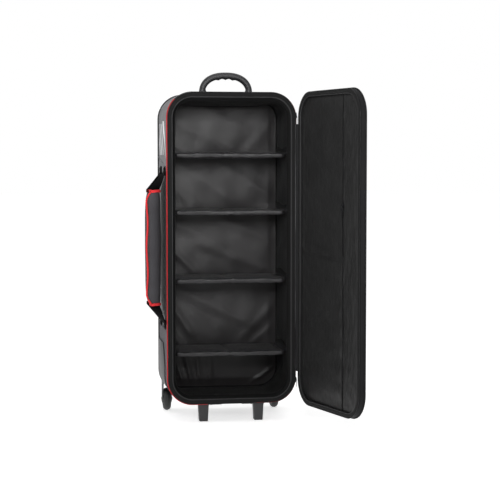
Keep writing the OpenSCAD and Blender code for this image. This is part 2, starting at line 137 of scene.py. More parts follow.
class Board:
    """The node tree of one material, with its shader and output."""

    def __init__(self, name: str) -> None:
        """Makes the material and clears its tree."""
        self.material = bpy.data.materials.new(name)
        self.material.use_nodes = True
        self.tree = self.material.node_tree
        self.tree.nodes.clear()

    def node(
        self,
        kind: str,
        settings: Mapping[str, object] | None = None,
        inputs: Mapping[str | int, object] | None = None,
        output: str | int = 0,
    ) -> Value:
        """Adds one node.

        Args:
            kind: The node's type.
            settings: Its properties, which are set first.
            inputs: A value or a Value for each socket, by name or place.
            output: The output to return, by name or place.

        Returns:
            The chosen output.
        """
        made = self.tree.nodes.new(kind)
        for name, setting in (settings or {}).items():
            setattr(made, name, setting)
        for key, given in (inputs or {}).items():
            if isinstance(given, Value):
                self.tree.links.new(given.socket, made.inputs[key])
            else:
                made.inputs[key].default_value = given
        return Value(self, made.outputs[output])

    def mix(self, share: Value | float, low: Value | Colour, high: Value | Colour) -> Value:
        """A colour that goes from low to high as share goes from 0 to 1."""
        return self.node("ShaderNodeMix", {"data_type": "RGBA"}, {0: share, 6: low, 7: high}, 2)

    def place(self) -> Value:
        """The point on the piece, in metres."""
        return self.node("ShaderNodeTexCoord", output="Object")

    def lit(self, tone: Value | Colour, share: Value) -> Value:
        """A colour made lighter or darker by a value about 1."""
        settings = {"data_type": "RGBA", "blend_type": "MULTIPLY"}
        return self.node("ShaderNodeMix", settings, {0: 1.0, 6: tone, 7: share}, 2)

    def axes(self, vector: Value) -> tuple[Value, Value, Value]:
        """The three coordinates of a vector."""
        parts = self.tree.nodes.new("ShaderNodeSeparateXYZ")
        self.tree.links.new(vector.socket, parts.inputs[0])
        x, y, z = (Value(self, socket) for socket in parts.outputs)
        return x, y, z

    def noise(self, scale: float, detail: float = 3.0, stretch: Sequence[float] = (1, 1, 1)) -> Value:
        """Soft noise from 0 to 1 that has scale cells in a metre.

        Args:
            scale: How many cells there are in a metre.
            detail: How many finer layers are added.
            stretch: How much denser the noise is along X, Y and Z.

        Returns:
            The noise's value.
        """
        mapped = self.node("ShaderNodeMapping", inputs={"Vector": self.place(), "Scale": stretch})
        sockets = {"Vector": mapped, "Scale": scale, "Detail": detail}
        return self.node("ShaderNodeTexNoise", inputs=sockets, output="Fac")

    def shade(self, height: Value | None, sockets: Mapping[str, object]) -> bpy.types.Material:
        """Ends the tree in a Principled shader.

        Args:
            height: The surface's relief in metres, or None for a plain one.
            sockets: The shader's own values and links.

        Returns:
            The finished material.
        """
        links = dict(sockets)
        if height is not None:
            bump = {"Height": height, "Strength": 1.0, "Distance": 1.0}
            links["Normal"] = self.node("ShaderNodeBump", inputs=bump)
        surface = self.node("ShaderNodeBsdfPrincipled", inputs=links)
        self.node_output(surface)
        return self.material

    def node_output(self, surface: Value) -> None:
        """Links a shader to the material's output."""
        end = self.tree.nodes.new("ShaderNodeOutputMaterial")
        self.tree.links.new(surface.socket, end.inputs["Surface"])


def paint(red: int, green: int, blue: int) -> Colour:
    """A display colour of 0 to 255 as the linear colour that shaders take."""
    parts = [c / 255 for c in (red, green, blue)]
    linear = [p / 12.92 if p < 0.04045 else ((p + 0.055) / 1.055) ** 2.4 for p in parts]
    return (*linear, 1.0)


def scaled(colour: Colour, share: float) -> Colour:
    """The colour made lighter or darker."""
    return (*(min(1.0, c * share) for c in colour[:3]), 1.0)


class Weave(Enum):
    """How a cloth's yarns lie."""

    PLAIN = "plain"
    TWILL = "twill"
    RIBBED = "ribbed"
    LOOPS = "loops"


class Lie(Enum):
    """What a cloth's yarns run along: the piece's own UV map, or two of its axes."""

    UV = (0, 1)
    XY = (0, 1, 2)
    YZ = (1, 2, 0)


@dataclass(frozen=True)
class Cloth:
    """A woven finish."""

    name: str
    colour: Colour
    pitch: float = 1.1 * MM
    relief: float = 0.10 * MM
    roughness: float = 0.8
    sheen: float = 0.03
    specular: float = 0.14
    contrast: float = 0.30
    mottle: float = 0.16
    crease: float = 0.6 * MM
    crease_scale: float = 26.0
    weave: Weave = Weave.PLAIN
    lie: Lie = Lie.UV

    def yarns(self, board: Board) -> Value:
        """The weave's relief, from -1 to 1."""
        if self.lie is Lie.UV:
            u, v, _ = board.axes(board.node("ShaderNodeTexCoord", output="UV"))
        else:
            parts = board.axes(board.place())
            u, v = parts[self.lie.value[0]], parts[self.lie.value[1]]
        turn = math.pi / self.pitch
        if self.weave is Weave.TWILL:
            return ((u + v) * turn).sin() * 0.7 + (u * turn).sin() * (v * turn).sin() * 0.3
        if self.weave is Weave.RIBBED:
            return (u * turn).sin().size() * 1.4 - 0.9 + ((u + v) * (2 * turn)).sin() * 0.3
        if self.weave is Weave.LOOPS:
            return board.noise(1 / self.pitch, 2.0) * 2.0 - 1.0
        return (u * turn).sin() * (v * turn).sin()

    def tone(self, board: Board) -> Value | Colour:
        """The cloth's main colour, before the weave shades it."""
        return self.colour

    def material(self) -> bpy.types.Material:
        """The cloth as a material: yarns, uneven dye, soft creases and sheen."""
        board = Board(self.name)
        yarns = self.yarns(board)
        patches = board.noise(14.0, 4.0)
        # The yarns term paints the yarn crowns lighter and the gaps between them darker, painted shade of the
        # weave; the patches term is uneven dye.
        light = yarns * self.contrast + (patches - 0.5) * (self.mottle * 4.0) + 1.0
        colour = board.lit(self.tone(board), light)
        height = yarns * self.relief + board.noise(self.crease_scale, 2.0) * self.crease
        rough = (patches - 0.5) * 0.16 + (self.roughness - 0.04) - yarns * 0.03
        return board.shade(
            height,
            {
                "Base Color": colour,
                "Roughness": rough,
                "Sheen Weight": self.sheen,
                "Sheen Roughness": 0.45,
                "Specular IOR Level": self.specular,
            },
        )


@dataclass(frozen=True)
class PrintedCloth(Cloth):
    """The side panels' cloth: a lighter field above, a darker one below, and slanted bars."""

    low: Colour = (0.1, 0.1, 0.1, 1.0)
    bars: Colour = (0.8, 0.8, 0.8, 1.0)
    step_z: float = 0.300
    print_low: float = 0.862
    print_high: float = 0.965
    print_front: float = 0.130
    print_rear: float = 0.262
    bar_pitch: float = 0.046
    slope: float = 0.62
    wedge_tip: tuple[float, float] = (0.062, 0.845)
    wedge_top: float = 0.972
    wedge_lean: float = 0.36
    wedge_width: float = 0.40
    # Painted shade behind the side grip: its colour, middle height, half height and rear edge.
    guard: Colour = (0.006, 0.006, 0.006, 1.0)
    grip_shade_mid: float = 0.561
    grip_shade_half: float = 0.266
    grip_shade_rear: float = 0.215

    def tone(self, board: Board) -> Value:
        """The field's colour with the printed bars on it, and a near-black patch behind the side grip,
        painted shade where the grip shadows the wall.
        """
        x, y, z = board.axes(board.place())
        edge = 0.6 * MM
        field = board.mix(z.rise(self.step_z - edge, self.step_z + edge), self.low, self.colour)
        across = (y - z * self.slope) * (2 * math.pi / self.bar_pitch)
        stripe = across.sin().rise(-0.06, 0.06)
        inside = z.rise(self.print_low, self.print_low + edge)
        inside = inside * z.rise(self.print_high, self.print_high - edge)
        inside = inside * y.rise(self.print_front, self.print_front + edge)
        inside = inside * y.rise(self.print_rear, self.print_rear - edge)
        up = z - self.wedge_tip[1]
        over = y - self.wedge_tip[0] - up * self.wedge_lean
        wedge = over.rise(0.0, edge) * (up * self.wedge_width - over).rise(0.0, edge)
        wedge = wedge * z.rise(self.wedge_top, self.wedge_top - edge)
        printed = board.mix(wedge, board.mix(stripe * inside * 0.7, field, self.bars), self.bars)
        # Painted shade: a near-black patch on the left panel behind the side grip, in place of the shadow
        # between grip and wall.
        wear_and_grip_shade = ((z - self.grip_shade_mid).size() + y * 0.36).rise(self.grip_shade_half, self.grip_shade_half - edge)
        wear_and_grip_shade = wear_and_grip_shade * x.rise(0.0, -edge) * y.rise(self.grip_shade_rear, self.grip_shade_rear - edge)
        return board.mix(wear_and_grip_shade, printed, self.guard)


@dataclass(frozen=True)
class Moulded:
    """Moulded plastic or rubber with a fine grained skin."""

    name: str
    colour: Colour
    roughness: float = 0.45
    grain: float = 0.05 * MM
    grain_scale: float = 900.0
    coat: float = 0.0

    def material(self) -> bpy.types.Material:
        """The moulding as a material, with scuffs and a grained skin."""
        board = Board(self.name)
        scuffs = board.noise(60.0, 5.0, (1, 1, 0.35))
        fine = board.noise(self.grain_scale, 1.0)
        # Lighter scuffs where the moulded skin is worn.
        wear_and_grip_shade = scuffs.rise(0.52, 0.8)
        colour = board.mix(wear_and_grip_shade * 0.5, self.colour, scaled(self.colour, 1.7))
        return board.shade(
            fine * self.grain,
            {
                "Base Color": colour,
                "Roughness": wear_and_grip_shade * 0.15 + (fine - 0.5) * 0.1 + self.roughness,
                "Specular IOR Level": 0.5,
                "Coat Weight": self.coat,
                "Coat Roughness": 0.3,
            },
        )


@dataclass(frozen=True)
class Metal:
    """Plated or enamelled metal."""

    name: str
    colour: Colour
    roughness: float = 0.3
    metallic: float = 1.0

    def material(self) -> bpy.types.Material:
        """The metal as a material, with fine scratches."""
        board = Board(self.name)
        scratches = board.noise(700.0, 3.0, (1, 1, 0.1))
        tone = board.mix(scratches.rise(0.4, 0.8) * 0.4, self.colour, scaled(self.colour, 1.5))
        return board.shade(
            scratches * (0.02 * MM),
            {
                "Base Color": tone,
                "Roughness": (scratches - 0.5) * 0.2 + self.roughness,
                "Metallic": self.metallic,
            },
        )


FINISHES: tuple[Cloth | Moulded | Metal, ...] = (
    PrintedCloth("grey_fabric", paint(116, 116, 118), low=paint(78, 76, 80), bars=paint(228, 229, 230),
                 sheen=0.05, specular=0.2),
    Cloth("black_fabric", paint(31, 31, 32), relief=0.13 * MM),
    Cloth("lining", paint(32, 30, 31), pitch=0.7 * MM, relief=0.05 * MM, roughness=0.44, sheen=0.05,
          specular=0.4, crease=1.7 * MM, crease_scale=9.0, contrast=0.2),
    # The back lining's cloth painted far darker for the walls, ceiling and floor inside: painted shade.
    Cloth("wall_lining", paint(9, 9, 9), pitch=0.7 * MM, relief=0.05 * MM, roughness=0.6,
          crease=1.6 * MM, crease_scale=11.0, contrast=0.2),
    Cloth("door_lining", paint(26, 26, 26), pitch=0.7 * MM, relief=0.05 * MM, roughness=0.45, specular=0.25,
          crease=3.8 * MM, crease_scale=15.0, contrast=0.2),
    Cloth("binding", paint(20, 20, 20), pitch=1.3 * MM, weave=Weave.RIBBED, roughness=0.7),
    # The binding's cloth painted lighter for its bead: painted highlight along the rim.
    Cloth("bead", paint(40, 40, 41), pitch=1.3 * MM, weave=Weave.TWILL, roughness=0.5, specular=0.3),
    Cloth("red_trim", paint(186, 26, 33), pitch=1.2 * MM, weave=Weave.TWILL, contrast=0.25, mottle=0.1),
    Cloth("grip_binding", paint(212, 50, 54), pitch=1.2 * MM, weave=Weave.TWILL, contrast=0.25, mottle=0.1),
    Cloth("zip_tape", paint(18, 18, 19), pitch=1.0 * MM, weave=Weave.TWILL),
    Moulded("zip_chain", paint(24, 24, 25), roughness=0.35),
    Moulded("moulded_black", paint(36, 36, 38), roughness=0.5),
    Metal("steel", paint(190, 190, 188), roughness=0.28),
    Cloth("webbing", paint(8, 8, 9), pitch=2.2 * MM, relief=0.25 * MM, weave=Weave.RIBBED, roughness=0.85,
          sheen=0.0, specular=0.08),
    Cloth("wrap_fabric", paint(64, 63, 66), pitch=1.4 * MM, relief=0.14 * MM, lie=Lie.YZ, crease=2.0 * MM,
          crease_scale=14.0),
    Metal("slider_metal", paint(36, 36, 38), roughness=0.3, metallic=0.6),
    Cloth("shelf_fabric", paint(28, 27, 29), pitch=0.9 * MM, roughness=0.44, lie=Lie.XY, specular=0.42,
          crease=1.5 * MM, crease_scale=62.0),
    Cloth("hook_tape", paint(9, 9, 10), pitch=1.6 * MM, relief=0.5 * MM, weave=Weave.LOOPS,
          roughness=0.95),
    Moulded("tyre", paint(24, 24, 25), roughness=0.5, grain=0.08 * MM, grain_scale=500.0),
    Moulded("hub", paint(56, 56, 58), roughness=0.4),
    Moulded("foam", paint(90, 90, 90), roughness=0.9, grain=0.3 * MM, grain_scale=400.0),
    Moulded("board", paint(30, 30, 30), roughness=0.6),
)


# ---- Mesh work ----


def only(obj: bpy.types.Object) -> bpy.types.Object:
    """Makes this the only selected and the active object."""
    bpy.ops.object.select_all(action="DESELECT")
    obj.select_set(True)
    bpy.context.view_layer.objects.active = obj
    return obj


def points(obj: bpy.types.Object) -> np.ndarray:
    """The vertices' places, one row each."""
    flat = np.empty(len(obj.data.vertices) * 3)
    obj.data.vertices.foreach_get("co", flat)
    return flat.reshape(-1, 3)


def set_points(obj: bpy.types.Object, rows: np.ndarray) -> None:
    """Moves the vertices to these places."""
    obj.data.vertices.foreach_set("co", rows.astype(np.float32).ravel())
    obj.data.update()


def apply(obj: bpy.types.Object, kind: str, **settings: object) -> None:
    """Adds a modifier of this kind with these settings and applies it."""
    only(obj)
    modifier = obj.modifiers.new(kind.lower(), kind)
    for name, setting in settings.items():
        setattr(modifier, name, setting)
    bpy.ops.object.modifier_apply(modifier=modifier.name)


def smooth(obj: bpy.types.Object, degrees: float = 0.0) -> bpy.types.Object:
    """Shades the piece smooth, with edges kept that are sharper than the angle if one is given."""
    only(obj)
    if degrees:
        bpy.ops.object.shade_smooth_by_angle(angle=math.radians(degrees))
    else:
        bpy.ops.object.shade_smooth()
    return obj


def tidy(obj: bpy.types.Object, weld: float = 0.01 * MM) -> None:
    """Merges doubled vertices, fills open ends and turns every face outwards."""
    mesh = bmesh.new()
    mesh.from_mesh(obj.data)
    bmesh.ops.remove_doubles(mesh, verts=mesh.verts, dist=weld)
    open_edges = [edge for edge in mesh.edges if edge.is_boundary]
    if open_edges:
        bmesh.ops.holes_fill(mesh, edges=open_edges, sides=0)
    bmesh.ops.recalc_face_normals(mesh, faces=mesh.faces)
    mesh.to_mesh(obj.data)
    mesh.free()


def lay(
    name: str,
    faces: tuple[int, int],
    shape: Shape,
    size: tuple[float, float],
    thick: float = 0.0,
    flip: bool = False,
    weld: bool = False,
) -> bpy.types.Object:
    """Lays a grid out as a sheet or as a closed skin.

    Args:
        name: The piece's name.
        faces: The number of faces along u and v.
        shape: Gives the places of points from their shares u and v, from 0 to 1.
        size: The real length along u and v, which the UV map takes.
        thick: The sheet's thickness, laid behind its front side, or 0 for a skin that closes on itself.
        flip: Whether the front side is the one away from u cross v.
        weld: Whether the two ends of a sheet meet and are merged.

    Returns:
        The piece, smooth shaded.
    """
    bpy.ops.object.select_all(action="DESELECT")
    bpy.ops.mesh.primitive_grid_add(x_subdivisions=faces[0], y_subdivisions=faces[1], size=1)
    obj = bpy.context.object
    obj.name = obj.data.name = name
    rows = points(obj)
    set_points(obj, shape(rows[:, 0] + 0.5, rows[:, 1] + 0.5))
    layer = obj.data.uv_layers[0]
    flat = np.empty(len(layer.data) * 2, np.float32)
    layer.data.foreach_get("uv", flat)
    layer.data.foreach_set("uv", (flat.reshape(-1, 2) * size).astype(np.float32).ravel())
    if thick <= 0.0:
        tidy(obj)
        return smooth(obj)
    mesh = bmesh.new()
    mesh.from_mesh(obj.data)
    if weld:
        bmesh.ops.remove_doubles(mesh, verts=mesh.verts, dist=0.01 * MM)
    if flip:
        bmesh.ops.reverse_faces(mesh, faces=mesh.faces)
    mesh.to_mesh(obj.data)
    mesh.free()
    apply(obj, "SOLIDIFY", thickness=thick, offset=-1.0)
    return smooth(obj, 50)


def cord(name: str, line: np.ndarray, radius: float, sides: int = 8) -> bpy.types.Object:
    """A round cord with closed ends along a line of points.

    Args:
        name: The piece's name.
        line: The points, one row each.
        radius: The cord's radius.
        sides: The number of faces round it.

    Returns:
        The piece.
    """
    steps = np.gradient(line, axis=0)
    steps /= np.linalg.norm(steps, axis=1)[:, None]
    side = np.cross(steps, np.where(np.abs(steps[:, 2:]) < 0.9, [[0.0, 0.0, 1.0]], [[0.0, 1.0, 0.0]]))
    side /= np.linalg.norm(side, axis=1)[:, None]
    over = np.cross(side, steps)
    length = float(np.linalg.norm(np.diff(line, axis=0), axis=1).sum())
    count = np.arange(len(line))

    def shape(u: np.ndarray, v: np.ndarray) -> np.ndarray:
        """The cord's skin: u runs along it and v round it."""
        at = u * (len(line) - 1)
        turn = 2 * math.pi * v
        rows = [np.interp(at, count, column) for column in np.hstack([line, side, over]).T]
        middle, out, up = np.array(rows[:3]).T, np.array(rows[3:6]).T, np.array(rows[6:]).T
        return middle + radius * (out * np.cos(turn)[:, None] + up * np.sin(turn)[:, None])

    return lay(name, (len(line) - 1, sides), shape, (length, 2 * math.pi * radius))


def copies(name: str, pattern: bpy.types.Object, places: np.ndarray) -> bpy.types.Object:
    """Joins many copies of a small pattern into one piece, and removes the pattern.

    Args:
        name: The piece's name.
        pattern: A small object at the origin.
        places: One 3 by 4 matrix for each copy.

    Returns:
        The joined piece.
    """
    rows = points(pattern)
    loops = [list(face.vertices) for face in pattern.data.polygons]
    moved = np.einsum("kij,nj->kni", places[:, :, :3], rows) + places[:, None, :, 3]
    faces = [[v + k * len(rows) for v in loop] for k in range(len(places)) for loop in loops]
    mesh = bpy.data.meshes.new(name)
    mesh.from_pydata(moved.reshape(-1, 3).tolist(), [], faces)
    mesh.validate()
    obj = bpy.data.objects.new(name, mesh)
    bpy.context.scene.collection.objects.link(obj)
    bpy.data.objects.remove(pattern)
    return smooth(obj)


def bean(length: float, width: float, height: float) -> bpy.types.Object:
    """A small rounded grain along X, the pattern of a stitch or a zip's tooth."""
    bpy.ops.object.select_all(action="DESELECT")
    bpy.ops.mesh.primitive_uv_sphere_add(segments=6, ring_count=4, radius=0.5)
    obj = bpy.context.object
    rows = points(obj)[:, [2, 0, 1]]
    set_points(obj, rows * [length, width, height])
    return obj


def strung(lines: Sequence[np.ndarray], facing: Sequence[np.ndarray], pitch: float) -> np.ndarray:
    """Places along lines, a pitch apart.

    Args:
        lines: Each line's points, one row each.
        facing: For each line, one normal or a normal for each point.
        pitch: The distance between places.

    Returns:
        One 3 by 4 matrix for each place: along the line, across it, out of the surface, and the place.
    """
    found = []
    for line, normal in zip(lines, facing):
        reach = np.r_[0.0, np.cumsum(np.linalg.norm(np.diff(line, axis=0), axis=1))]
        at = np.arange(pitch / 2, reach[-1], pitch)
        normal = np.broadcast_to(normal, line.shape)
        place = np.array([np.interp(at, reach, column) for column in line.T]).T
        out = np.array([np.interp(at, reach, column) for column in normal.T]).T
        ahead = np.array([np.interp(at + pitch * 0.4, reach, column) for column in line.T]).T
        back = np.array([np.interp(at - pitch * 0.4, reach, column) for column in line.T]).T
        run = ahead - back
        run /= np.linalg.norm(run, axis=1)[:, None]
        across = np.cross(out, run)
        across /= np.linalg.norm(across, axis=1)[:, None]
        found.append(np.stack([run, across, np.cross(run, across), place], axis=2))
    return np.concatenate(found)


def stitches(name: str, lines: Sequence[np.ndarray], facing: Sequence[np.ndarray]) -> bpy.types.Object:
    """Rows of lockstitch along lines on a surface."""
    return copies(name, bean(3.0 * MM, 0.9 * MM, 0.8 * MM), strung(lines, facing, 4.2 * MM))


def softened(node: str, name: str, width: float, segments: int = 3) -> bpy.types.Object:
    """A copy of a hard CAD part with its edges rounded.

    Args:
        node: The CAD node's name.
        name: The new piece's name.
        width: The width of the rounding.
        segments: The number of faces across it.

    Returns:
        The new piece.
    """
    obj = bpy.data.objects.new(name, bpy.data.objects[node].data.copy())
    obj.data.name = name
    bpy.context.scene.collection.objects.link(obj)
    obj.data.materials.clear()
    mesh = bmesh.new()
    mesh.from_mesh(obj.data)
    bmesh.ops.remove_doubles(mesh, verts=mesh.verts, dist=0.005 * MM)
    bmesh.ops.dissolve_limit(mesh, angle_limit=math.radians(1), verts=mesh.verts, edges=mesh.edges)
    mesh.to_mesh(obj.data)
    mesh.free()
    obj.data.validate()
    apply(obj, "BEVEL", width=width, segments=segments, limit_method="ANGLE",
          angle_limit=math.radians(32), harden_normals=False)
    return smooth(obj, 35)


def block(
    name: str, low: Sequence[float], high: Sequence[float], corner: float, edge: float
) -> bpy.types.Object:
    """A plate with rounded upright corners and softened edges.

    Args:
        name: The piece's name.
        low: Its lowest corner.
        high: Its highest corner.
        corner: The radius of the upright corners.
        edge: The radius of the other edges.

    Returns:
        The piece.
    """
    bpy.ops.object.select_all(action="DESELECT")
    bpy.ops.mesh.primitive_cube_add(size=1)
    obj = bpy.context.object
    obj.name = obj.data.name = name
    set_points(obj, np.array(low) + (points(obj) + 0.5) * (np.array(high) - np.array(low)))
    mesh = bmesh.new()
    mesh.from_mesh(obj.data)
    upright = [e for e in mesh.edges if abs(e.verts[0].co.z - e.verts[1].co.z) > 0.9 * (high[2] - low[2])]
    bmesh.ops.bevel(mesh, geom=upright, offset=corner, segments=6, affect="EDGES", profile=0.5)
    mesh.to_mesh(obj.data)
    mesh.free()
    apply(obj, "BEVEL", width=edge, segments=3, limit_method="ANGLE", angle_limit=math.radians(40))
    return smooth(obj, 35)


@dataclass(frozen=True)
class Crease:
    """A soft fold in a cloth, from one point of its plane to another."""

    start: tuple[float, float]
    end: tuple[float, float]
    width: float
    height: float


def creased(a: np.ndarray, b: np.ndarray, folds: Sequence[Crease]) -> np.ndarray:
    """How far a cloth with these folds stands out at the points (a, b) of its plane."""
    total = np.zeros_like(a)
    for fold in folds:
        start, end = np.array(fold.start), np.array(fold.end)
        run = end - start
        length = float(np.hypot(*run))
        run = run / length
        along = (a - start[0]) * run[0] + (b - start[1]) * run[1]
        across = (b - start[1]) * run[0] - (a - start[0]) * run[1]
        beyond = np.maximum(np.maximum(-along, along - length), 0.0)
        total += fold.height * np.exp(-((across / fold.width) ** 2) - (beyond / (2 * fold.width)) ** 2)
    return total


def rumple(a: np.ndarray, b: np.ndarray, wave: float, seed: float) -> np.ndarray:
    """Gentle unevenness from -1 to 1, with bumps about a wave apart."""
    k = 2 * math.pi / wave
    return (
        np.sin(k * (0.83 * a + 0.56 * b) + seed)
        + np.sin(k * (-0.41 * a + 1.13 * b) + 2.1 * seed)
        + np.sin(k * (1.37 * a - 0.29 * b) + 3.7 * seed)
    ) / 3


# ---- The bag's outline ----


class Turn(IntEnum):
    """Where the straight and round stretches of an outline meet, going round from its lower middle."""

    BOTTOM_RIGHT = 1
    RIGHT_LOW = 2
    RIGHT_HIGH = 3
    TOP_RIGHT = 4
    TOP_LEFT = 5
    LEFT_HIGH = 6
    LEFT_LOW = 7
    BOTTOM_LEFT = 8


@dataclass(frozen=True)
class Loop:
    """A rounded rectangle, run anticlockwise from the middle of its lower side."""

    half_a: float
    half_b: float
    radius: float

    @property
    def knots(self) -> np.ndarray:
        """The distance round to each turn, from the start to the full length."""
        a, b = self.half_a - self.radius, self.half_b - self.radius
        arc = self.radius * math.pi / 2
        return np.cumsum([0, a, arc, 2 * b, arc, 2 * a, arc, 2 * b, arc, a])

    @property
    def length(self) -> float:
        """The distance all the way round."""
        return float(self.knots[-1])

    def share(self, turn: Turn, beyond: float = 0.0) -> float:
        """The share of the way round at a distance beyond a turn."""
        return float(self.knots[turn] + beyond) / self.length

    def run(self, share: np.ndarray, grow: np.ndarray | float = 0.0) -> tuple[np.ndarray, ...]:
        """Points on the outline and its outward normals.

        Args:
            share: How far round each point is, where 1 is all the way.
            grow: How far outside the outline each point is.

        Returns:
            The points' two coordinates, then their normals' two.
        """
        a, b = self.half_a - self.radius, self.half_b - self.radius
        at = (share % 1.0) * self.length
        angle = np.radians(np.interp(at, self.knots, [-90, -90, 0, 0, 90, 90, 180, 180, 270, 270]))
        middle_a = np.interp(at, self.knots, [0, a, a, a, a, -a, -a, -a, -a, 0])
        middle_b = np.interp(at, self.knots, [-b, -b, -b, b, b, b, b, -b, -b, -b])
        out_a, out_b = np.cos(angle), np.sin(angle)
        reach = self.radius + grow
        return middle_a + out_a * reach, middle_b + out_b * reach, out_a, out_b

    def filled(self, a: np.ndarray, b: np.ndarray) -> tuple[np.ndarray, np.ndarray]:
        """Pulls the corners of a plain rectangle's points in to the rounded ones."""
        over_a = np.maximum(np.abs(a) - (self.half_a - self.radius), 0.0)
        over_b = np.maximum(np.abs(b) - (self.half_b - self.radius), 0.0)
        square = 2 * self.radius**2
        less_a = over_a * (1 - np.sqrt(1 - over_b**2 / square))
        less_b = over_b * (1 - np.sqrt(1 - over_a**2 / square))
        return a - np.sign(a) * less_a, b - np.sign(b) * less_b


@dataclass(frozen=True)
class Outline(Loop):
    """The bag's front outline, at its height above the floor."""

    mid_z: float

    @classmethod
    def from_frame(cls, joints: Sequence[Mapping]) -> "Outline":
        """Reads the outline from the outer fabric and from the corner that a zip slider turns about."""
        low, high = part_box("side_fabric")
        corner = next(j for j in joints if j["name"] == "zip_upper_travel")["pos_m"]
        half_w = (high.x - low.x) / 2
        return cls(half_w, (high.z - low.z) / 2, half_w - corner[0], (high.z + low.z) / 2)

    @property
    def top(self) -> float:
        """The height of the bag's upper side."""
        return self.mid_z + self.half_b

    @property
    def bottom(self) -> float:
        """The height of the bag's underside."""
        return self.mid_z - self.half_b

    def right_at(self, z: float) -> float:
        """The share of the way round at a height on the right wall."""
        return self.share(Turn.RIGHT_LOW, z - self.mid_z + self.half_b - self.radius)

    def left_at(self, z: float) -> float:
        """The share of the way round at a height on the left wall."""
        return self.share(Turn.LEFT_HIGH, self.mid_z + self.half_b - self.radius - z)

    def bottom_at(self, x: float) -> float:
        """The share of the way round at a place on the underside, below 0 left of the middle."""
        return x / self.length

    def line(self, start: float, end: float, grow: float, y: float, step: float = 6 * MM) -> np.ndarray:
        """Points along the outline from one share of the way round to another, in the plane y."""
        count = max(3, round((end - start) * self.length / step) + 1)
        x, z, _, _ = self.run(np.linspace(start, end, count), grow)
        return np.column_stack([x, np.full(count, y), self.mid_z + z])

    def normals(self, start: float, end: float, count: int) -> np.ndarray:
        """Outward normals at points along the outline."""
        _, _, out_x, out_z = self.run(np.linspace(start, end, count))
        return np.column_stack([out_x, np.zeros(count), out_z])

    def band(
        self,
        name: str,
        span: tuple[float, float],
        reach: tuple[float, float],
        thick: float,
        cell: float = 6 * MM,
        give: Callable[..., np.ndarray] | None = None,
        inward: bool = False,
        grow: float = 0.0,
    ) -> bpy.types.Object:
        """A sheet that follows the outline.

        Args:
            name: The piece's name.
            span: Where it starts and ends, as shares of the way round.
            reach: The y of its front and rear edges.
            thick: Its thickness.
            cell: The size of its faces.
            give: How far each point lies outside the outline, from its x, z, y and normal.
            inward: Whether its front side faces the inside of the bag.
            grow: How far outside the outline its front side lies.

        Returns:
            The piece.
        """
        run = (span[1] - span[0]) * self.length
        depth = reach[1] - reach[0]

        def shape(u: np.ndarray, v: np.ndarray) -> np.ndarray:
            """u runs round the outline and v from the rear to the front."""
            share = span[0] + u * (span[1] - span[0])
            y = reach[1] - v * depth
            x, z, out_x, out_z = self.run(share)
            out = np.full_like(x, grow)
            if give is not None:
                out = out + give(x, self.mid_z + z, y, out_x, out_z)
            return np.column_stack([x + out_x * out, y, self.mid_z + z + out_z * out])

        faces = (max(4, round(run / cell)), max(2, round(depth / cell)))
        closed = span[1] - span[0] > 0.9999
        return lay(name, faces, shape, (run, depth), thick, flip=inward, weld=closed)

    def moulding(
        self, name: str, span: tuple[float, float], section: Loop, grow: float, y: float, cell: float = 6 * MM
    ) -> bpy.types.Object:
        """A solid strip with a rounded section that follows the outline.

        Args:
            name: The piece's name.
            span: Where it starts and ends, as shares of the way round.
            section: Its section, across the outline and along y.
            grow: How far outside the outline the section's middle lies.
            y: Where the section's middle lies.
            cell: The length of its faces.

        Returns:
            The piece.
        """
        run = (span[1] - span[0]) * self.length

        def shape(u: np.ndarray, v: np.ndarray) -> np.ndarray:
            """u runs round the outline and v round the section."""
            out, along, _, _ = section.run(v)
            x, z, _, _ = self.run(span[0] + u * (span[1] - span[0]), grow + out)
            return np.column_stack([x, y + along, self.mid_z + z])

        return lay(name, (max(8, round(run / cell)), 20), shape, (run, section.length))

    def panel(
        self,
        name: str,
        inset: float,
        y: float,
        thick: float,
        relief: Callable[[np.ndarray, np.ndarray], np.ndarray],
        spread: tuple[float, float] = (-1.0, 1.0),
        rear: bool = False,
        cell: float = 6 * MM,
    ) -> bpy.types.Object:
        """A flat sheet that fills the outline, or an upright strip of it.

        Args:
            name: The piece's name.
            inset: How far inside the outline its edge lies.
            y: The plane of its front side.
            thick: Its thickness.
            relief: How far each point stands out of its front side, from its x and z.
            spread: The strip's left and right ends, as shares of the half width.
            rear: Whether its front side faces +Y.
            cell: The size of its faces.

        Returns:
            The piece.
        """
        inner = Loop(self.half_a - inset, self.half_b - inset, max(self.radius - inset, 1 * MM))
        width = (spread[1] - spread[0]) * inner.half_a

        def shape(u: np.ndarray, v: np.ndarray) -> np.ndarray:
            """u runs along X and v along Z."""
            x = (spread[0] + u * (spread[1] - spread[0])) * inner.half_a
            x, z = inner.filled(x, (2 * v - 1) * inner.half_b)
            out = relief(x, self.mid_z + z)
            return np.column_stack([x, y + out if rear else y - out, self.mid_z + z])

        faces = (max(2, round(width / cell)), round(2 * inner.half_b / cell))
        return lay(name, faces, shape, (width, 2 * inner.half_b), thick, flip=rear)


# ---- Dressing ----


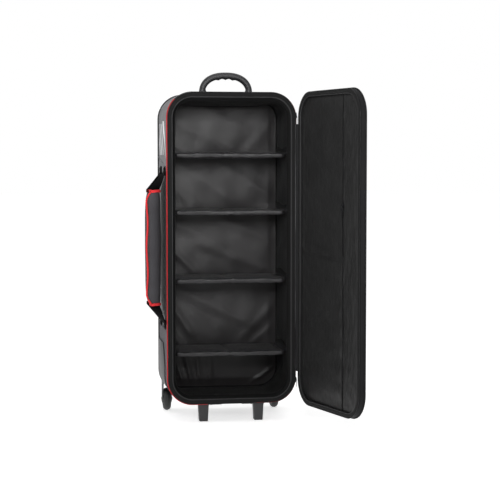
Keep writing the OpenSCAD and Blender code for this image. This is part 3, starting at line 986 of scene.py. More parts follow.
@dataclass
class Wardrobe:
    """The bag's finishes, which it gives to the pieces along with the bodies that they ride on."""

    materials: dict[str, bpy.types.Material]

    @classmethod
    def open(cls) -> "Wardrobe":
        """Makes every finish."""
        return cls({finish.name: finish.material() for finish in FINISHES})

    def dress(self, obj: bpy.types.Object, body: str | None, slot: str, *nodes: str,
              finish: str = "") -> bpy.types.Object:
        """Gives a piece its finish and its body, and hides the CAD nodes that it stands for.

        Args:
            obj: The piece.
            body: The body that it rides on, or None where it bends between two.
            slot: The record's material slot, which also names the usual finish.
            nodes: The CAD nodes that it replaces.
            finish: The finish's name where it isn't the slot's usual one.

        Returns:
            The piece.
        """
        obj.data.materials.clear()
        obj.data.materials.append(self.materials[finish or slot])
        if body is not None:
            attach(obj, body)
        if nodes:
            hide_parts(*nodes)
        LOG.info("%s: %d faces, %s, on %s", obj.name, len(obj.data.polygons), slot, body)
        return obj

    def dress_frame(self, frame: Mapping) -> None:
        """Gives each CAD node the finish of its material slot."""
        for part in frame["record"]["subparts"]:
            node = frame["nodes"][part["node"]]
            node.data.materials.clear()
            node.data.materials.append(self.materials[part["material_slot"]])


@dataclass(frozen=True)
class Stuffing:
    """How a pad swells: as cloth blown up from inside, with its seams held."""

    pressure: float
    cap: float
    frames: int = 20

    def swell(self, obj: bpy.types.Object, held: np.ndarray) -> None:
        """Blows the pad up, and keeps each point within the cap.

        Args:
            obj: The pad, evenly meshed.
            held: Which vertices the seams hold.
        """
        start = points(obj)
        pins = obj.vertex_groups.new(name="seams")
        pins.add(np.flatnonzero(held).tolist(), 1.0, "REPLACE")
        only(obj)
        cloth = obj.modifiers.new("cloth", "CLOTH")
        cloth.settings.use_pressure = True
        cloth.settings.uniform_pressure_force = self.pressure
        cloth.settings.effector_weights.gravity = 0.0
        cloth.settings.vertex_group_mass = pins.name
        cloth.settings.bending_stiffness = 0.3
        cloth.collision_settings.use_collision = False
        scene = bpy.context.scene
        for frame in range(1, self.frames + 1):
            scene.frame_set(frame)
        bpy.ops.object.modifier_apply(modifier=cloth.name)
        scene.frame_set(1)
        moved = points(obj) - start
        reach = np.linalg.norm(moved, axis=1)
        moved *= np.minimum(1.0, self.cap / np.maximum(reach, 1e-9))[:, None]
        set_points(obj, start + moved)
        obj.vertex_groups.clear()


@dataclass(frozen=True)
class Swing:
    """The door's hinge line, and how far the door stands open."""

    x: float
    y: float
    angle: float

    @classmethod
    def from_frame(cls, joints: Sequence[Mapping]) -> "Swing":
        """Reads the hinge from the door's joint, whose lower limit is the closed door."""
        joint = next(j for j in joints if j["name"] == "door_swing")
        return cls(joint["pos_m"][0], joint["pos_m"][1], -math.radians(joint["range_deg"][0]))

    @property
    def matrix(self) -> Matrix:
        """The turn from the closed door to the open one."""
        to_line = Matrix.Translation((self.x, self.y, 0))
        return to_line @ Matrix.Rotation(self.angle, 4, "Z") @ to_line.inverted()

    def open(self, obj: bpy.types.Object) -> bpy.types.Object:
        """Swings a piece that was modelled closed."""
        obj.data.transform(self.matrix)
        obj.data.update()
        return obj


# ---- The body ----


@dataclass(frozen=True)
class Shell:
    """The outer fabric: two side panels, a top, a base and a back, with welts in the seams."""

    outline: Outline
    front: float = 5 * MM
    fabric: float = 1.8 * MM
    base_half: float = 80 * MM
    welt: float = 1.5 * MM
    back_inset: float = 1.5 * MM
    low_seam_z: float = 300 * MM
    welt_rear_z: float = 856 * MM
    welt_front_z: float = 815 * MM

    @property
    def rear(self) -> float:
        """The y of the side panels' rear edge."""
        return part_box("side_fabric")[1].y + 1 * MM

    def build(self, wardrobe: Wardrobe) -> None:
        """Makes the shell."""
        line = self.outline
        left = (line.share(Turn.TOP_LEFT), line.share(Turn.BOTTOM_LEFT, 0.0) + (line.half_a - line.radius
                                                                              - self.base_half) / line.length)
        right = (line.bottom_at(self.base_half), line.share(Turn.TOP_RIGHT))
        spans = {
            "side_panel_left": (left, "grey_fabric"),
            "side_panel_right": (right, "grey_fabric"),
            "top_panel": ((right[1], left[0]), "black_fabric"),
            "base_panel": ((-right[0], right[0]), "black_fabric"),
        }
        for name, (span, slot) in spans.items():
            panel = line.band(name, span, (self.front, self.rear), self.fabric, give=self.slack)
            wardrobe.dress(panel, "bag", slot, "side_fabric")
        for name, share in (("welt_top_left", left[0]), ("welt_base_left", left[1]),
                            ("welt_top_right", right[1]), ("welt_base_right", right[0])):
            wardrobe.dress(self.cross_welt(name, share), "bag", "black_fabric")
        for side, word in ((-1, "left"), (1, "right")):
            self.side_seams(wardrobe, side, word)
        self.back_panel(wardrobe)

    def slack(self, x: np.ndarray, z: np.ndarray, y: np.ndarray, out_x: np.ndarray,
              out_z: np.ndarray) -> np.ndarray:
        """The fabric's slight unevenness over the foam."""
        return 0.5 * MM * rumple(y, z + x, 0.17, 1.3) - 0.3 * MM

    def cross_welt(self, name: str, share: float) -> bpy.types.Object:
        """A welt from front to rear where two panels meet."""
        x, z, _, _ = self.outline.run(np.array([share]), 0.3 * MM)
        y = np.linspace(self.front + 6 * MM, self.rear - 1 * MM, 40)
        line = np.column_stack([np.full_like(y, x[0]), y, np.full_like(y, self.outline.mid_z + z[0])])
        return cord(name, line, self.welt)

    def side_seams(self, wardrobe: Wardrobe, side: int, word: str) -> None:
        """The slanting welt and the low seam of one side panel."""
        y = np.linspace(self.front + 6 * MM, self.rear - 1 * MM, 40)
        share = (y - y[0]) / (y[-1] - y[0])
        x = np.full_like(y, side * (self.outline.half_a + 0.3 * MM))
        slant = np.column_stack([x, y, self.welt_front_z + (self.welt_rear_z - self.welt_front_z) * share])
        low = np.column_stack([x, y, np.full_like(y, self.low_seam_z)])
        wardrobe.dress(cord(f"slant_welt_{word}", slant, self.welt), "bag", "grey_fabric")
        wardrobe.dress(cord(f"low_welt_{word}", low, self.welt), "bag", "grey_fabric")
        facing = np.array([side, 0.0, 0.0])
        below = [side * 0.1 * MM, 0, -5 * MM]
        rows = [slant + below, low + below]
        row = stitches(f"side_stitches_{word}", rows, [facing] * len(rows))
        wardrobe.dress(row, "bag", "grey_fabric")

    def back_panel(self, wardrobe: Wardrobe) -> None:
        """The back fabric, stitched to its board in upright channels."""
        line = self.outline
        edge_x, edge_z = line.half_a - 45 * MM, line.half_b - 45 * MM
        channels = [Crease((x, line.mid_z - edge_z), (x, line.mid_z + edge_z), 7 * MM, -1.6 * MM)
                    for x in (-edge_x, -edge_x / 3, edge_x / 3, edge_x)]
        channels += [Crease((-edge_x, z), (edge_x, z), 7 * MM, -1.6 * MM)
                     for z in (line.mid_z - edge_z, line.mid_z + edge_z)]

        def relief(x: np.ndarray, z: np.ndarray) -> np.ndarray:
            """The padding between the channels."""
            return 1.2 * MM + creased(x, z, channels) + 0.3 * MM * rumple(x, z, 0.15, 2.0)

        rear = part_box("back_fabric")[1].y
        panel = line.panel("back_panel", self.back_inset, rear, self.fabric, relief, rear=True)
        wardrobe.dress(panel, "bag", "black_fabric", "back_fabric")
        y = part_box("back_fabric")[1].y
        rows = []
        for fold in channels:
            share = np.linspace(0, 1, 120)[:, None]
            ends = np.array([[fold.start[0], y, fold.start[1]], [fold.end[0], y, fold.end[1]]])
            rows.append(ends[0] + (ends[1] - ends[0]) * share)
        row = stitches("back_stitches", rows, [np.array([0.0, 1.0, 0.0])] * len(rows))
        wardrobe.dress(row, "bag", "black_fabric")


@dataclass(frozen=True)
class Rim:
    """What is sewn round an edge: binding with its bead, and half a zip."""

    outline: Outline
    prefix: str
    body: str
    face_y: float
    back: float
    binding_reach: tuple[float, float]
    bead_in: float
    swing: Swing | None = None
    thick: float = 3.2 * MM
    bead: float = 2 * MM
    tape: tuple[float, float] = (0.4 * MM, 4.8 * MM)
    chain_out: float = 0.6 * MM
    tooth_pitch: float = 2.1 * MM
    hinge_margin: float = 20 * MM

    @property
    def zip_span(self) -> tuple[float, float]:
        """Where the zip runs: all round, less the hinge."""
        line = self.outline
        start = line.share(Turn.RIGHT_HIGH, -self.hinge_margin)
        return (start, 1 + line.share(Turn.RIGHT_LOW, self.hinge_margin))

    def put(
        self, wardrobe: Wardrobe, obj: bpy.types.Object, slot: str, *nodes: str, finish: str = ""
    ) -> None:
        """Swings a piece open if it is the door's, and dresses it."""
        if self.swing is not None:
            self.swing.open(obj)
        wardrobe.dress(obj, self.body, slot, *nodes, finish=finish)

    def build(self, wardrobe: Wardrobe) -> None:
        """Makes the binding, its bead and stitches, the zip's tape and its coil."""
        line, start, end = self.outline, *self.binding_reach
        middle = self.face_y + self.back * self.thick / 2
        section = Loop((end - start) / 2, self.thick / 2, 1.2 * MM)
        binding = line.moulding(f"{self.prefix}rim_binding_tape", (0, 1), section, -(start + end) / 2, middle)
        self.put(wardrobe, binding, "binding", f"{self.prefix}rim_binding")
        round_bead = Loop(self.bead, self.bead, self.bead)
        bead_y = self.face_y + self.back * (self.bead + 0.2 * MM)
        bead = line.moulding(f"{self.prefix}rim_bead", (0, 1), round_bead, -self.bead_in, bead_y)
        # The bead keeps the binding's slot with the lighter finish, a painted highlight line.
        self.put(wardrobe, bead, "binding", finish="bead")
        rows = [line.line(0, 1, -depth, self.face_y) for depth in (end - 2.6 * MM,)]
        facing = np.array([0.0, -self.back, 0.0])
        self.put(wardrobe, stitches(f"{self.prefix}rim_stitches", rows, [facing] * len(rows)), "binding")
        self.zip_half(wardrobe)

    def zip_half(self, wardrobe: Wardrobe) -> None:
        """Half of the main zip: its tape and its coil, which stands on the tape's outer side."""
        line, (gap, width) = self.outline, self.tape
        start = self.face_y + self.back * gap
        tape_y = start + self.back * width / 2
        section = Loop(0.7 * MM, width / 2, 0.5 * MM)
        tape = line.moulding(f"{self.prefix}main_zip_tape", self.zip_span, section, -1.1 * MM, tape_y)
        body_prefix = self.prefix or "body_"
        self.put(wardrobe, tape, "zip_tape", f"{body_prefix}zip_tape")
        chain_y = start + self.back * 1.0 * MM
        run = line.line(*self.zip_span, self.chain_out, chain_y)
        core = cord(f"{self.prefix}coil_core", run, 0.6 * MM, 6)
        self.put(wardrobe, core, "zip_chain")
        normals = line.normals(*self.zip_span, len(run))
        places = strung([run], [normals], self.tooth_pitch)
        coil = copies(f"{self.prefix}coil", bean(1.1 * MM, 2.0 * MM, 1.9 * MM), places)
        self.put(wardrobe, coil, "zip_chain", f"{body_prefix}zip_chain")


@dataclass(frozen=True)
class Piping:
    """The corded piping behind the bag's rim and at its back edge."""

    outline: Outline
    radius: float = 2.6 * MM
    out: float = 1.0 * MM
    y: float = 8 * MM
    base_half: float = 80 * MM
    hinge_margin: float = 20 * MM
    back_radius: float = 2.4 * MM
    back_out: float = 0.8 * MM
    right_out: float = -0.9 * MM

    def build(self, wardrobe: Wardrobe) -> None:
        """Makes the red piping along the side panels and the black piping elsewhere."""
        line = self.outline
        base = line.bottom_at(self.base_half)
        high_left = line.share(Turn.TOP_LEFT, line.radius * math.pi / 4)
        high_right = line.share(Turn.RIGHT_HIGH, line.radius * math.pi / 4)
        spans = {
            "red_piping_left": ((high_left, 1 - base), self.out, "red_trim"),
            "red_piping_low_right": (
                (base, line.share(Turn.RIGHT_LOW, self.hinge_margin)), self.right_out, "red_trim"),
            "red_piping_high_right": (
                (line.share(Turn.RIGHT_HIGH, -self.hinge_margin), high_right), self.right_out, "red_trim"),
            "black_piping_top": ((high_right, high_left), 0.0, "black_fabric"),
            "black_piping_base": ((-base, base), 0.0, "black_fabric"),
        }
        for name, (span, out, slot) in spans.items():
            piece = cord(name, line.line(*span, out, self.y), self.radius, 10)
            wardrobe.dress(piece, "bag", slot, "red_piping")
        guard_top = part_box("wheel_housing_right")[1].z
        guard_in = 108 * MM
        back_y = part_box("back_fabric")[1].y - self.back_radius - 0.2 * MM
        back_spans = {
            "back_piping_arch": (line.right_at(guard_top), line.left_at(guard_top)),
            "back_piping_base": (line.bottom_at(-guard_in), line.bottom_at(guard_in)),
        }
        for name, span in back_spans.items():
            piece = cord(name, line.line(*span, self.back_out, back_y), self.back_radius, 10)
            wardrobe.dress(piece, "bag", "black_fabric", "back_piping")


@dataclass(frozen=True)
class Interior:
    """The lining: its walls, with a ceiling that hangs a little, and the back with its bound seam."""

    outline: Outline
    inset: float = 13 * MM
    thick: float = 1.2 * MM
    front: float = 3.2 * MM
    sag: float = 22 * MM
    roll: float = 13 * MM
    crown: float = 7 * MM
    shelf_levels: tuple[float, ...] = (0.216, 0.454, 0.675, 0.861)

    @property
    def rear(self) -> float:
        """The y of the back lining's front side."""
        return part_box("lining")[1].y - self.thick

    def walls_give(self, x: np.ndarray, z: np.ndarray, y: np.ndarray, out_x: np.ndarray,
                   out_z: np.ndarray) -> np.ndarray:
        """How far the wall lining stands outside its place: it rolls behind the rim and sags at the top."""
        share = np.clip((y - self.front) / (self.rear - self.front), 0, 1)
        free = np.sin(np.pi * share) ** 0.7
        ceiling = np.clip(out_z, 0, 1) ** 2 * np.clip(1 - np.abs(x / 0.185) ** 5, 0, 1)
        hang = self.sag * ceiling * np.sin(np.pi * np.clip(share, 0, 0.74) / 1.48) ** 1.2
        roll = self.roll * np.sin(np.pi * np.clip((y - self.front) / (36 * MM), 0, 1)) ** 0.8
        ripple = free * (0.5 * MM + 0.6 * MM * rumple(y + 0.3 * z, z + x, 0.13, 4.0))
        folds = creased(y, z, [Crease((0.21, 0.99), (0.262, 0.97), 9 * MM, 2 * MM),
                               Crease((0.20, 0.56), (0.262, 0.51), 8 * MM, 1.5 * MM),
                               Crease((0.18, 0.15), (0.262, 0.11), 8 * MM, 3 * MM)])
        return -(np.maximum(hang, roll) + ripple + folds * free)

    def back_relief(self, x: np.ndarray, z: np.ndarray) -> np.ndarray:
        """The back lining's slanting folds, and its crown between the shelves."""
        line = self.outline
        edge = np.clip((line.half_a - self.inset - np.abs(x)) / 0.03, 0, 1)
        edge = edge * np.clip((line.half_b - self.inset - np.abs(z - line.mid_z)) / 0.03, 0, 1)
        levels = [line.bottom, *self.shelf_levels, line.top]
        phase = np.interp(z, levels, range(len(levels)))
        crown = self.crown * np.clip(1 - (x / 0.195) ** 2, 0, 1) * np.abs(np.sin(np.pi * phase)) ** 0.7
        folds = [
            Crease((-0.15, 0.975), (0.02, 0.890), 24 * MM, 3.0 * MM),
            Crease((0.00, 0.990), (0.15, 0.900), 22 * MM, 2.6 * MM),
            Crease((-0.17, 0.905), (-0.12, 0.870), 10 * MM, 3.0 * MM),
            Crease((0.10, 0.885), (0.17, 0.960), 18 * MM, 1.6 * MM),
            Crease((-0.18, 0.780), (-0.10, 0.695), 17 * MM, 3.4 * MM),
            Crease((-0.12, 0.815), (0.04, 0.715), 22 * MM, 3.0 * MM),
            Crease((0.05, 0.800), (0.16, 0.730), 18 * MM, 3.4 * MM),
            Crease((-0.17, 0.640), (0.00, 0.560), 17 * MM, 3.6 * MM),
            Crease((0.02, 0.640), (0.17, 0.575), 16 * MM, 3.2 * MM),
            Crease((-0.18, 0.560), (-0.09, 0.470), 12 * MM, 5.0 * MM),
            Crease((-0.06, 0.560), (0.14, 0.480), 17 * MM, 3.4 * MM),
            Crease((-0.14, 0.405), (0.08, 0.300), 19 * MM, 4.6 * MM),
            Crease((-0.18, 0.380), (-0.11, 0.270), 13 * MM, 5.2 * MM),
            Crease((-0.18, 0.290), (-0.14, 0.225), 9 * MM, 4.6 * MM),
            Crease((0.09, 0.260), (0.18, 0.350), 16 * MM, 2.6 * MM),
            Crease((0.12, 0.235), (0.18, 0.280), 12 * MM, 2.2 * MM),
            Crease((-0.165, 0.200), (-0.130, 0.095), 8 * MM, 5.0 * MM),
            Crease((-0.125, 0.200), (-0.100, 0.095), 8 * MM, 4.6 * MM),
            Crease((-0.085, 0.195), (-0.070, 0.095), 8 * MM, 3.8 * MM),
            Crease((-0.040, 0.190), (-0.035, 0.100), 9 * MM, 2.8 * MM),
            Crease((0.105, 0.086), (0.176, 0.136), 6 * MM, 5.0 * MM),
        ]
        return edge * (1.5 * MM + crown + 0.75 * creased(x, z, folds) + 1.0 * MM * rumple(x, z, 0.12, 5.0))

    def build(self, wardrobe: Wardrobe) -> None:
        """Makes the lining."""
        line = self.outline
        walls = line.band("lining_walls", (0, 1), (self.front, self.rear + 0.4 * MM), self.thick, 4 * MM,
                          self.walls_give, inward=True, grow=-self.inset)
        # The walls wear the lining's slot with the darker finish, painted shade inside the bag.
        wardrobe.dress(walls, "bag", "lining", "lining", finish="wall_lining")
        back = line.panel("lining_back", self.inset + 0.5 * MM, self.rear, self.thick, self.back_relief,
                          cell=5 * MM)
        wardrobe.dress(back, "bag", "lining", "lining")
        seam = line.moulding("lining_seam", (0, 1), Loop(2.2 * MM, 2.2 * MM, 2.2 * MM),
                             -self.inset - 2.4 * MM, self.rear - 2.2 * MM)
        wardrobe.dress(seam, "bag", "binding", "lining")


@dataclass(frozen=True)
class Shelf:
    """A padded shelf with a rolled front edge, and hook-and-loop tabs at its ends."""

    number: int
    shrink: float = 1.5 * MM
    cell: float = 4 * MM
    roll: float = 10 * MM
    pucker: float = 23 * MM
    rear_gap: float = 9 * MM

    def build(self, wardrobe: Wardrobe) -> None:
        """Makes the pad and its tabs."""
        name = f"shelf_{self.number}"
        low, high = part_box(name)
        pad = block(f"shelf_pad_{self.number}", low + Vector((self.shrink,) * 3),
                    high - Vector((self.shrink, self.rear_gap, self.shrink)), 14 * MM, 4 * MM)
        apply(pad, "REMESH", mode="VOXEL", voxel_size=self.cell)
        rows = points(pad)
        sides = [rows[:, 0] - low.x, high.x - rows[:, 0], rows[:, 1] - low.y, high.y - rows[:, 1]]
        edge = np.minimum.reduce(sides)
        around = rows[:, 0] + rows[:, 1]
        between = np.abs(np.sin(np.pi * around / self.pucker)) > 0.35
        stitched = (np.abs(edge - self.roll) < 2.6 * MM) & between
        across = np.abs(rows[:, 0] - (low.x + high.x) / 2) < 2.2 * MM
        middle = (low.z + high.z) / 2
        rows[:, 2] += np.where(stitched | across, (middle - rows[:, 2]) * 0.45, 0.0)
        rolled = np.sign(rows[:, 2] - middle) * np.clip(1.4 - edge / self.roll, 0, 1)
        lumps = rumple(rows[:, 0], rows[:, 1], 0.045, 3.1 * self.number)
        rows[:, 2] += rolled * (1.6 * MM + 1.5 * MM * lumps)
        rows[:, 2] += 1.0 * MM * rumple(rows[:, 0], rows[:, 1], 0.14, 1.9 * self.number)
        set_points(pad, rows)
        Stuffing(4.0, 4 * MM).swell(pad, stitched | across)
        apply(pad, "SUBSURF", levels=1, render_levels=1)
        smooth(pad)
        wardrobe.dress(pad, name, "shelf_fabric", name)
        self.tabs(wardrobe)

    def tabs(self, wardrobe: Wardrobe) -> None:
        """The two tabs, which leave the shelf's ends and curl up against the walls."""
        low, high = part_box(f"shelf_tabs_{self.number}")
        _, shelf_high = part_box(f"shelf_{self.number}")
        for side, word in ((-1, "left"), (1, "right")):
            root = shelf_high.x - 12 * MM
            wall = high.x - 3.4 * MM
            bend = 17 * MM
            base = low.z + 1 * MM

            def shape(u: np.ndarray, v: np.ndarray) -> np.ndarray:
                """u runs from the shelf up the wall and v from front to rear."""
                flat, arc = wall - bend - root, bend * math.pi / 2
                tall = (high.z - base) * 0.7 - bend
                at = u * (flat + arc + tall)
                turn = np.clip((at - flat) / bend, 0, math.pi / 2)
                x = root + np.minimum(at, flat) + bend * np.sin(turn)
                z = base + bend * (1 - np.cos(turn)) + np.maximum(at - flat - arc, 0)
                y = low.y + (high.y - low.y) * v
                edge = 0.86 + 0.14 * np.sin(7 * v + self.number)
                z = base + (z - base) * np.where(u > 0.5, edge, 1.0)
                loose = np.clip((z - base) / (high.z - base), 0, 1) ** 2
                x = x - loose * (1.6 * MM + 1.6 * MM * np.sin(9 * v + 2 * self.number + side))
                return np.column_stack([side * x, y, z])

            size = (0.075, high.y - low.y)
            tab = lay(f"shelf_tab_{self.number}_{word}", (26, 36), shape, size, 1.4 * MM, flip=side < 0)
            wardrobe.dress(tab, f"shelf_{self.number}", "hook_tape", f"shelf_tabs_{self.number}")


@dataclass(frozen=True)
class TopHandle:
    """The moulded arch with finger ridges, on two screwed feet."""

    end: float = 19 * MM
    grip: float = 21 * MM
    depth: float = 28 * MM
    ridge_pitch: float = 23 * MM
    ridge: float = 3.4 * MM
    square: float = 2.35
    foot: tuple[float, float, float] = (44 * MM, 46 * MM, 5 * MM)

    def build(self, wardrobe: Wardrobe, outline: Outline) -> None:
        """Makes the arch and its two feet."""
        low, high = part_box("top_handle")
        y, top = (low.y + high.y) / 2, outline.top
        half = (high.x - low.x) / 2
        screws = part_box("handle_screws")
        foot_x = (screws[1].x + screws[0].x) / 2 + (screws[1].x - screws[0].x) / 2 - 3.6 * MM
        half = foot_x + self.end / 2
        tall = high.z - top
        section = Loop(0.5, 0.5, 0.42)

        def shape(u: np.ndarray, v: np.ndarray) -> np.ndarray:
            """u runs along the arch from right to left and v round its section."""
            turn = np.pi * u
            across, along, _, _ = section.run(v)
            upright = np.sin(turn)
            thick = self.end + (self.grip - self.end) * upright
            out = across * thick
            bulge = 1 / (np.abs(np.cos(turn)) ** self.square + upright**self.square) ** (1 / self.square)
            x = (half - thick / 2 + out) * np.cos(turn) * bulge
            z = (tall - thick / 2 + out) * upright * bulge
            inner = np.clip(-across * 2, 0, 1)
            for k in (-1, 0, 1):
                near = np.clip(1 - np.abs(x - k * self.ridge_pitch) / (10 * MM), 0, 1) ** 1.3
                z -= inner * self.ridge * near * (upright > 0.6)
            flare = np.clip(1 - z / (17 * MM), 0, 1) ** 1.4 * inner * 11 * MM
            x -= np.sign(np.cos(turn)) * flare
            deep = self.depth * (0.94 + 0.06 * upright)
            return np.column_stack([x, y + along * deep, top + np.maximum(z, 0)])

        arch = lay("top_handle_arch", (150, 32), shape, (0.24, 0.09))
        wardrobe.dress(arch, "bag", "moulded_black", "top_handle")
        width, deep, thick = self.foot
        for side, word in ((-1, "left"), (1, "right")):
            middle = side * foot_x
            foot = block(f"top_handle_foot_{word}", (middle - width / 2, y - deep / 2, top),
                         (middle + width / 2, y + deep / 2, top + thick), 9 * MM, 1.4 * MM)
            wardrobe.dress(foot, "bag", "moulded_black", "top_handle")


@dataclass(frozen=True)
class SideHandle:
    """The padded carry grip on two webbing straps that are sewn to the left wall."""

    outline: Outline
    strap_w: float = 38 * MM
    strap_t: float = 2.5 * MM
    root_dy: float = 60 * MM
    end_dy: float = 26 * MM
    root_dz: float = 226 * MM
    above: float = 34 * MM
    binding: float = 9 * MM
    lift: float = 22 * MM
    taper: float = 8 * MM

    @property
    def grip(self) -> tuple[Vector, Vector]:
        """The lowest and highest corner of the padded grip, bindings included."""
        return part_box("side_wrap_binding")

    def build(self, wardrobe: Wardrobe) -> None:
        """Makes the grip, its bindings, the straps and their anchors."""
        self.wrap(wardrobe)
        self.trim(wardrobe)
        for dy, word, node in ((-1, "front", "side_strap_front"), (1, "rear", "side_strap_rear")):
            for up, level in ((1, "high"), (-1, "low")):
                self.strap(wardrobe, dy, up, f"strap_{word}_{level}", node)
                self.anchor(wardrobe, dy, up, f"strap_anchor_{word}_{level}")

    def wrap(self, wardrobe: Wardrobe) -> None:
        """The padding: a swollen sleeve, drawn in at its seams."""
        low, high = self.grip
        slim = Vector((1.5 * MM, 1.5 * MM, 3 * MM))
        pad = block("side_grip_pad", low + slim, high - slim, 18 * MM, 7 * MM)
        apply(pad, "REMESH", mode="VOXEL", voxel_size=5 * MM)
        rows = points(pad)
        near_end = np.minimum(rows[:, 2] - low.z, high.z - rows[:, 2])
        outward = np.clip(((low.x + high.x) / 2 - rows[:, 0]) / (22 * MM), 0, 1)
        rows[:, 0] += self.taper * outward * np.clip(1 - near_end / (34 * MM), 0, 1) ** 1.6
        seam_y = low.y + 14 * MM
        outer = rows[:, 0] < (low.x + high.x) / 2
        held = (near_end < self.binding) | (outer & (np.abs(rows[:, 1] - seam_y) < 3 * MM))
        rows[:, 0] += 1.6 * MM * rumple(rows[:, 1], rows[:, 2], 0.14, 2.4)
        set_points(pad, rows)
        Stuffing(4.0, 6 * MM).swell(pad, held)
        apply(pad, "SUBSURF", levels=1, render_levels=1)
        smooth(pad)
        wardrobe.dress(pad, "side_handle", "wrap_fabric", "side_wrap")

    def trim(self, wardrobe: Wardrobe) -> None:
        """The red bindings round both ends, and the bound edge of the overlap down the outer side."""
        low, high = self.grip
        middle = (low + high) / 2
        plan = Loop((high.x - low.x) / 2 - 0.9 * MM, (high.y - low.y) / 2 - 0.9 * MM, 20 * MM)
        section = Loop(1.9 * MM, self.binding / 2, 1.7 * MM)
        for z, word in ((low.z + self.binding / 2, "low"), (high.z - self.binding / 2, "high")):

            def shape(u: np.ndarray, v: np.ndarray, z: float = z) -> np.ndarray:
                """u runs round the grip and v round the binding's section."""
                out, tall, _, _ = section.run(v)
                x, y, _, _ = plan.run(u, out)
                x += self.taper * np.clip(-x / plan.half_a, 0, 1)
                ripple = 0.8 * MM * np.sin(2 * np.pi * 5 * u)
                return np.column_stack([middle.x + x, middle.y + y, z + tall + ripple])

            ring = lay(f"side_grip_binding_{word}", (120, 14), shape, (plan.length, section.length))
            wardrobe.dress(ring, "side_handle", "red_trim", "side_wrap_binding", finish="grip_binding")
        z = np.linspace(low.z + 6 * MM, high.z - 6 * MM, 90)
        share = (z - z[0]) / (z[-1] - z[0])
        ends = np.clip(np.minimum(share, 1 - share) / 0.08, 0, 1)
        wave = 1.8 * MM * np.sin(2 * np.pi * 2.3 * share + 0.6) * ends
        x = low.x - 0.8 * MM + (1 - ends) ** 1.6 * (self.taper + 4 * MM) - wave
        y = low.y + 12 * MM - (1 - ends) ** 2 * 8 * MM + wave
        edge = cord("side_grip_edge", np.column_stack([x, y, z]), 3.0 * MM, 10)
        wardrobe.dress(edge, "side_handle", "red_trim", finish="grip_binding")

    def strap(self, wardrobe: Wardrobe, dy: int, up: int, name: str, node: str) -> None:
        """One end of a strap: flat on its anchor, it twists a quarter turn into the grip's end."""
        low, high = self.grip
        middle = (low + high) / 2
        wall = -self.outline.half_a - 1.5 * self.strap_t
        end_dz = (high.z - low.z) / 2 - 10 * MM
        root_dz = self.root_dz + self.above

        def shape(u: np.ndarray, v: np.ndarray) -> np.ndarray:
            """u runs from the wall to the grip and v across the strap."""
            dz = root_dz + (end_dz - root_dz) * u
            leaves = self.root_dz + self.lift
            go = np.clip((leaves - dz) / (leaves - (high.z - low.z) / 2), 0, 1)
            x = wall + (middle.x - wall) * go
            y = dy * (self.root_dy + (self.end_dy - self.root_dy) * go)
            turn = np.arcsin(go)
            half = (v - 0.5) * self.strap_w
            x = x + half * np.sin(turn)
            y = y + half * np.cos(turn) * dy
            return np.column_stack([x, middle.y + y, middle.z + up * dz])

        strap = lay(name, (60, 12), shape, (0.12, self.strap_w), self.strap_t, flip=up * dy > 0)
        wardrobe.dress(strap, None, "webbing", node)
        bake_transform(strap)

    def anchor(self, wardrobe: Wardrobe, dy: int, up: int, name: str) -> None:
        """The patch under a strap's root, with a stitched box and cross."""
        low, high = self.grip
        middle = (low + high) / 2
        x = -self.outline.half_a
        z0, z1 = self.root_dz + self.lift - 14 * MM, self.root_dz + self.above + 4 * MM
        zs = sorted((middle.z + up * z0, middle.z + up * z1))
        y = middle.y + dy * self.root_dy
        patch = block(name, (x - self.strap_t, y - self.strap_w / 2 - 1 * MM, zs[0]),
                      (x, y + self.strap_w / 2 + 1 * MM, zs[1]), 0.8 * MM, 0.5 * MM)
        wardrobe.dress(patch, "bag", "webbing", "strap_anchors")
        face = x - 2 * self.strap_t - 0.1 * MM
        half, inner = self.strap_w / 2 - 4 * MM, 6 * MM
        a, b = (zs[0] + 13 * MM, zs[1] - inner) if up > 0 else (zs[0] + inner, zs[1] - 13 * MM)
        corners = [(y - half, a), (y + half, a), (y + half, b), (y - half, b), (y - half, a), (y + half, b)]
        corners += [(y + half, a), (y - half, b)]
        rows = []
        for (y0, w0), (y1, w1) in zip(corners, corners[1:]):
            share = np.linspace(0, 1, 12)[:, None]
            rows.append(np.array([face, y0, w0]) + np.array([0, y1 - y0, w1 - w0]) * share)
        row = stitches(f"{name}_stitches", rows, [np.array([-1.0, 0.0, 0.0])] * len(rows))
        wardrobe.dress(row, "bag", "webbing")


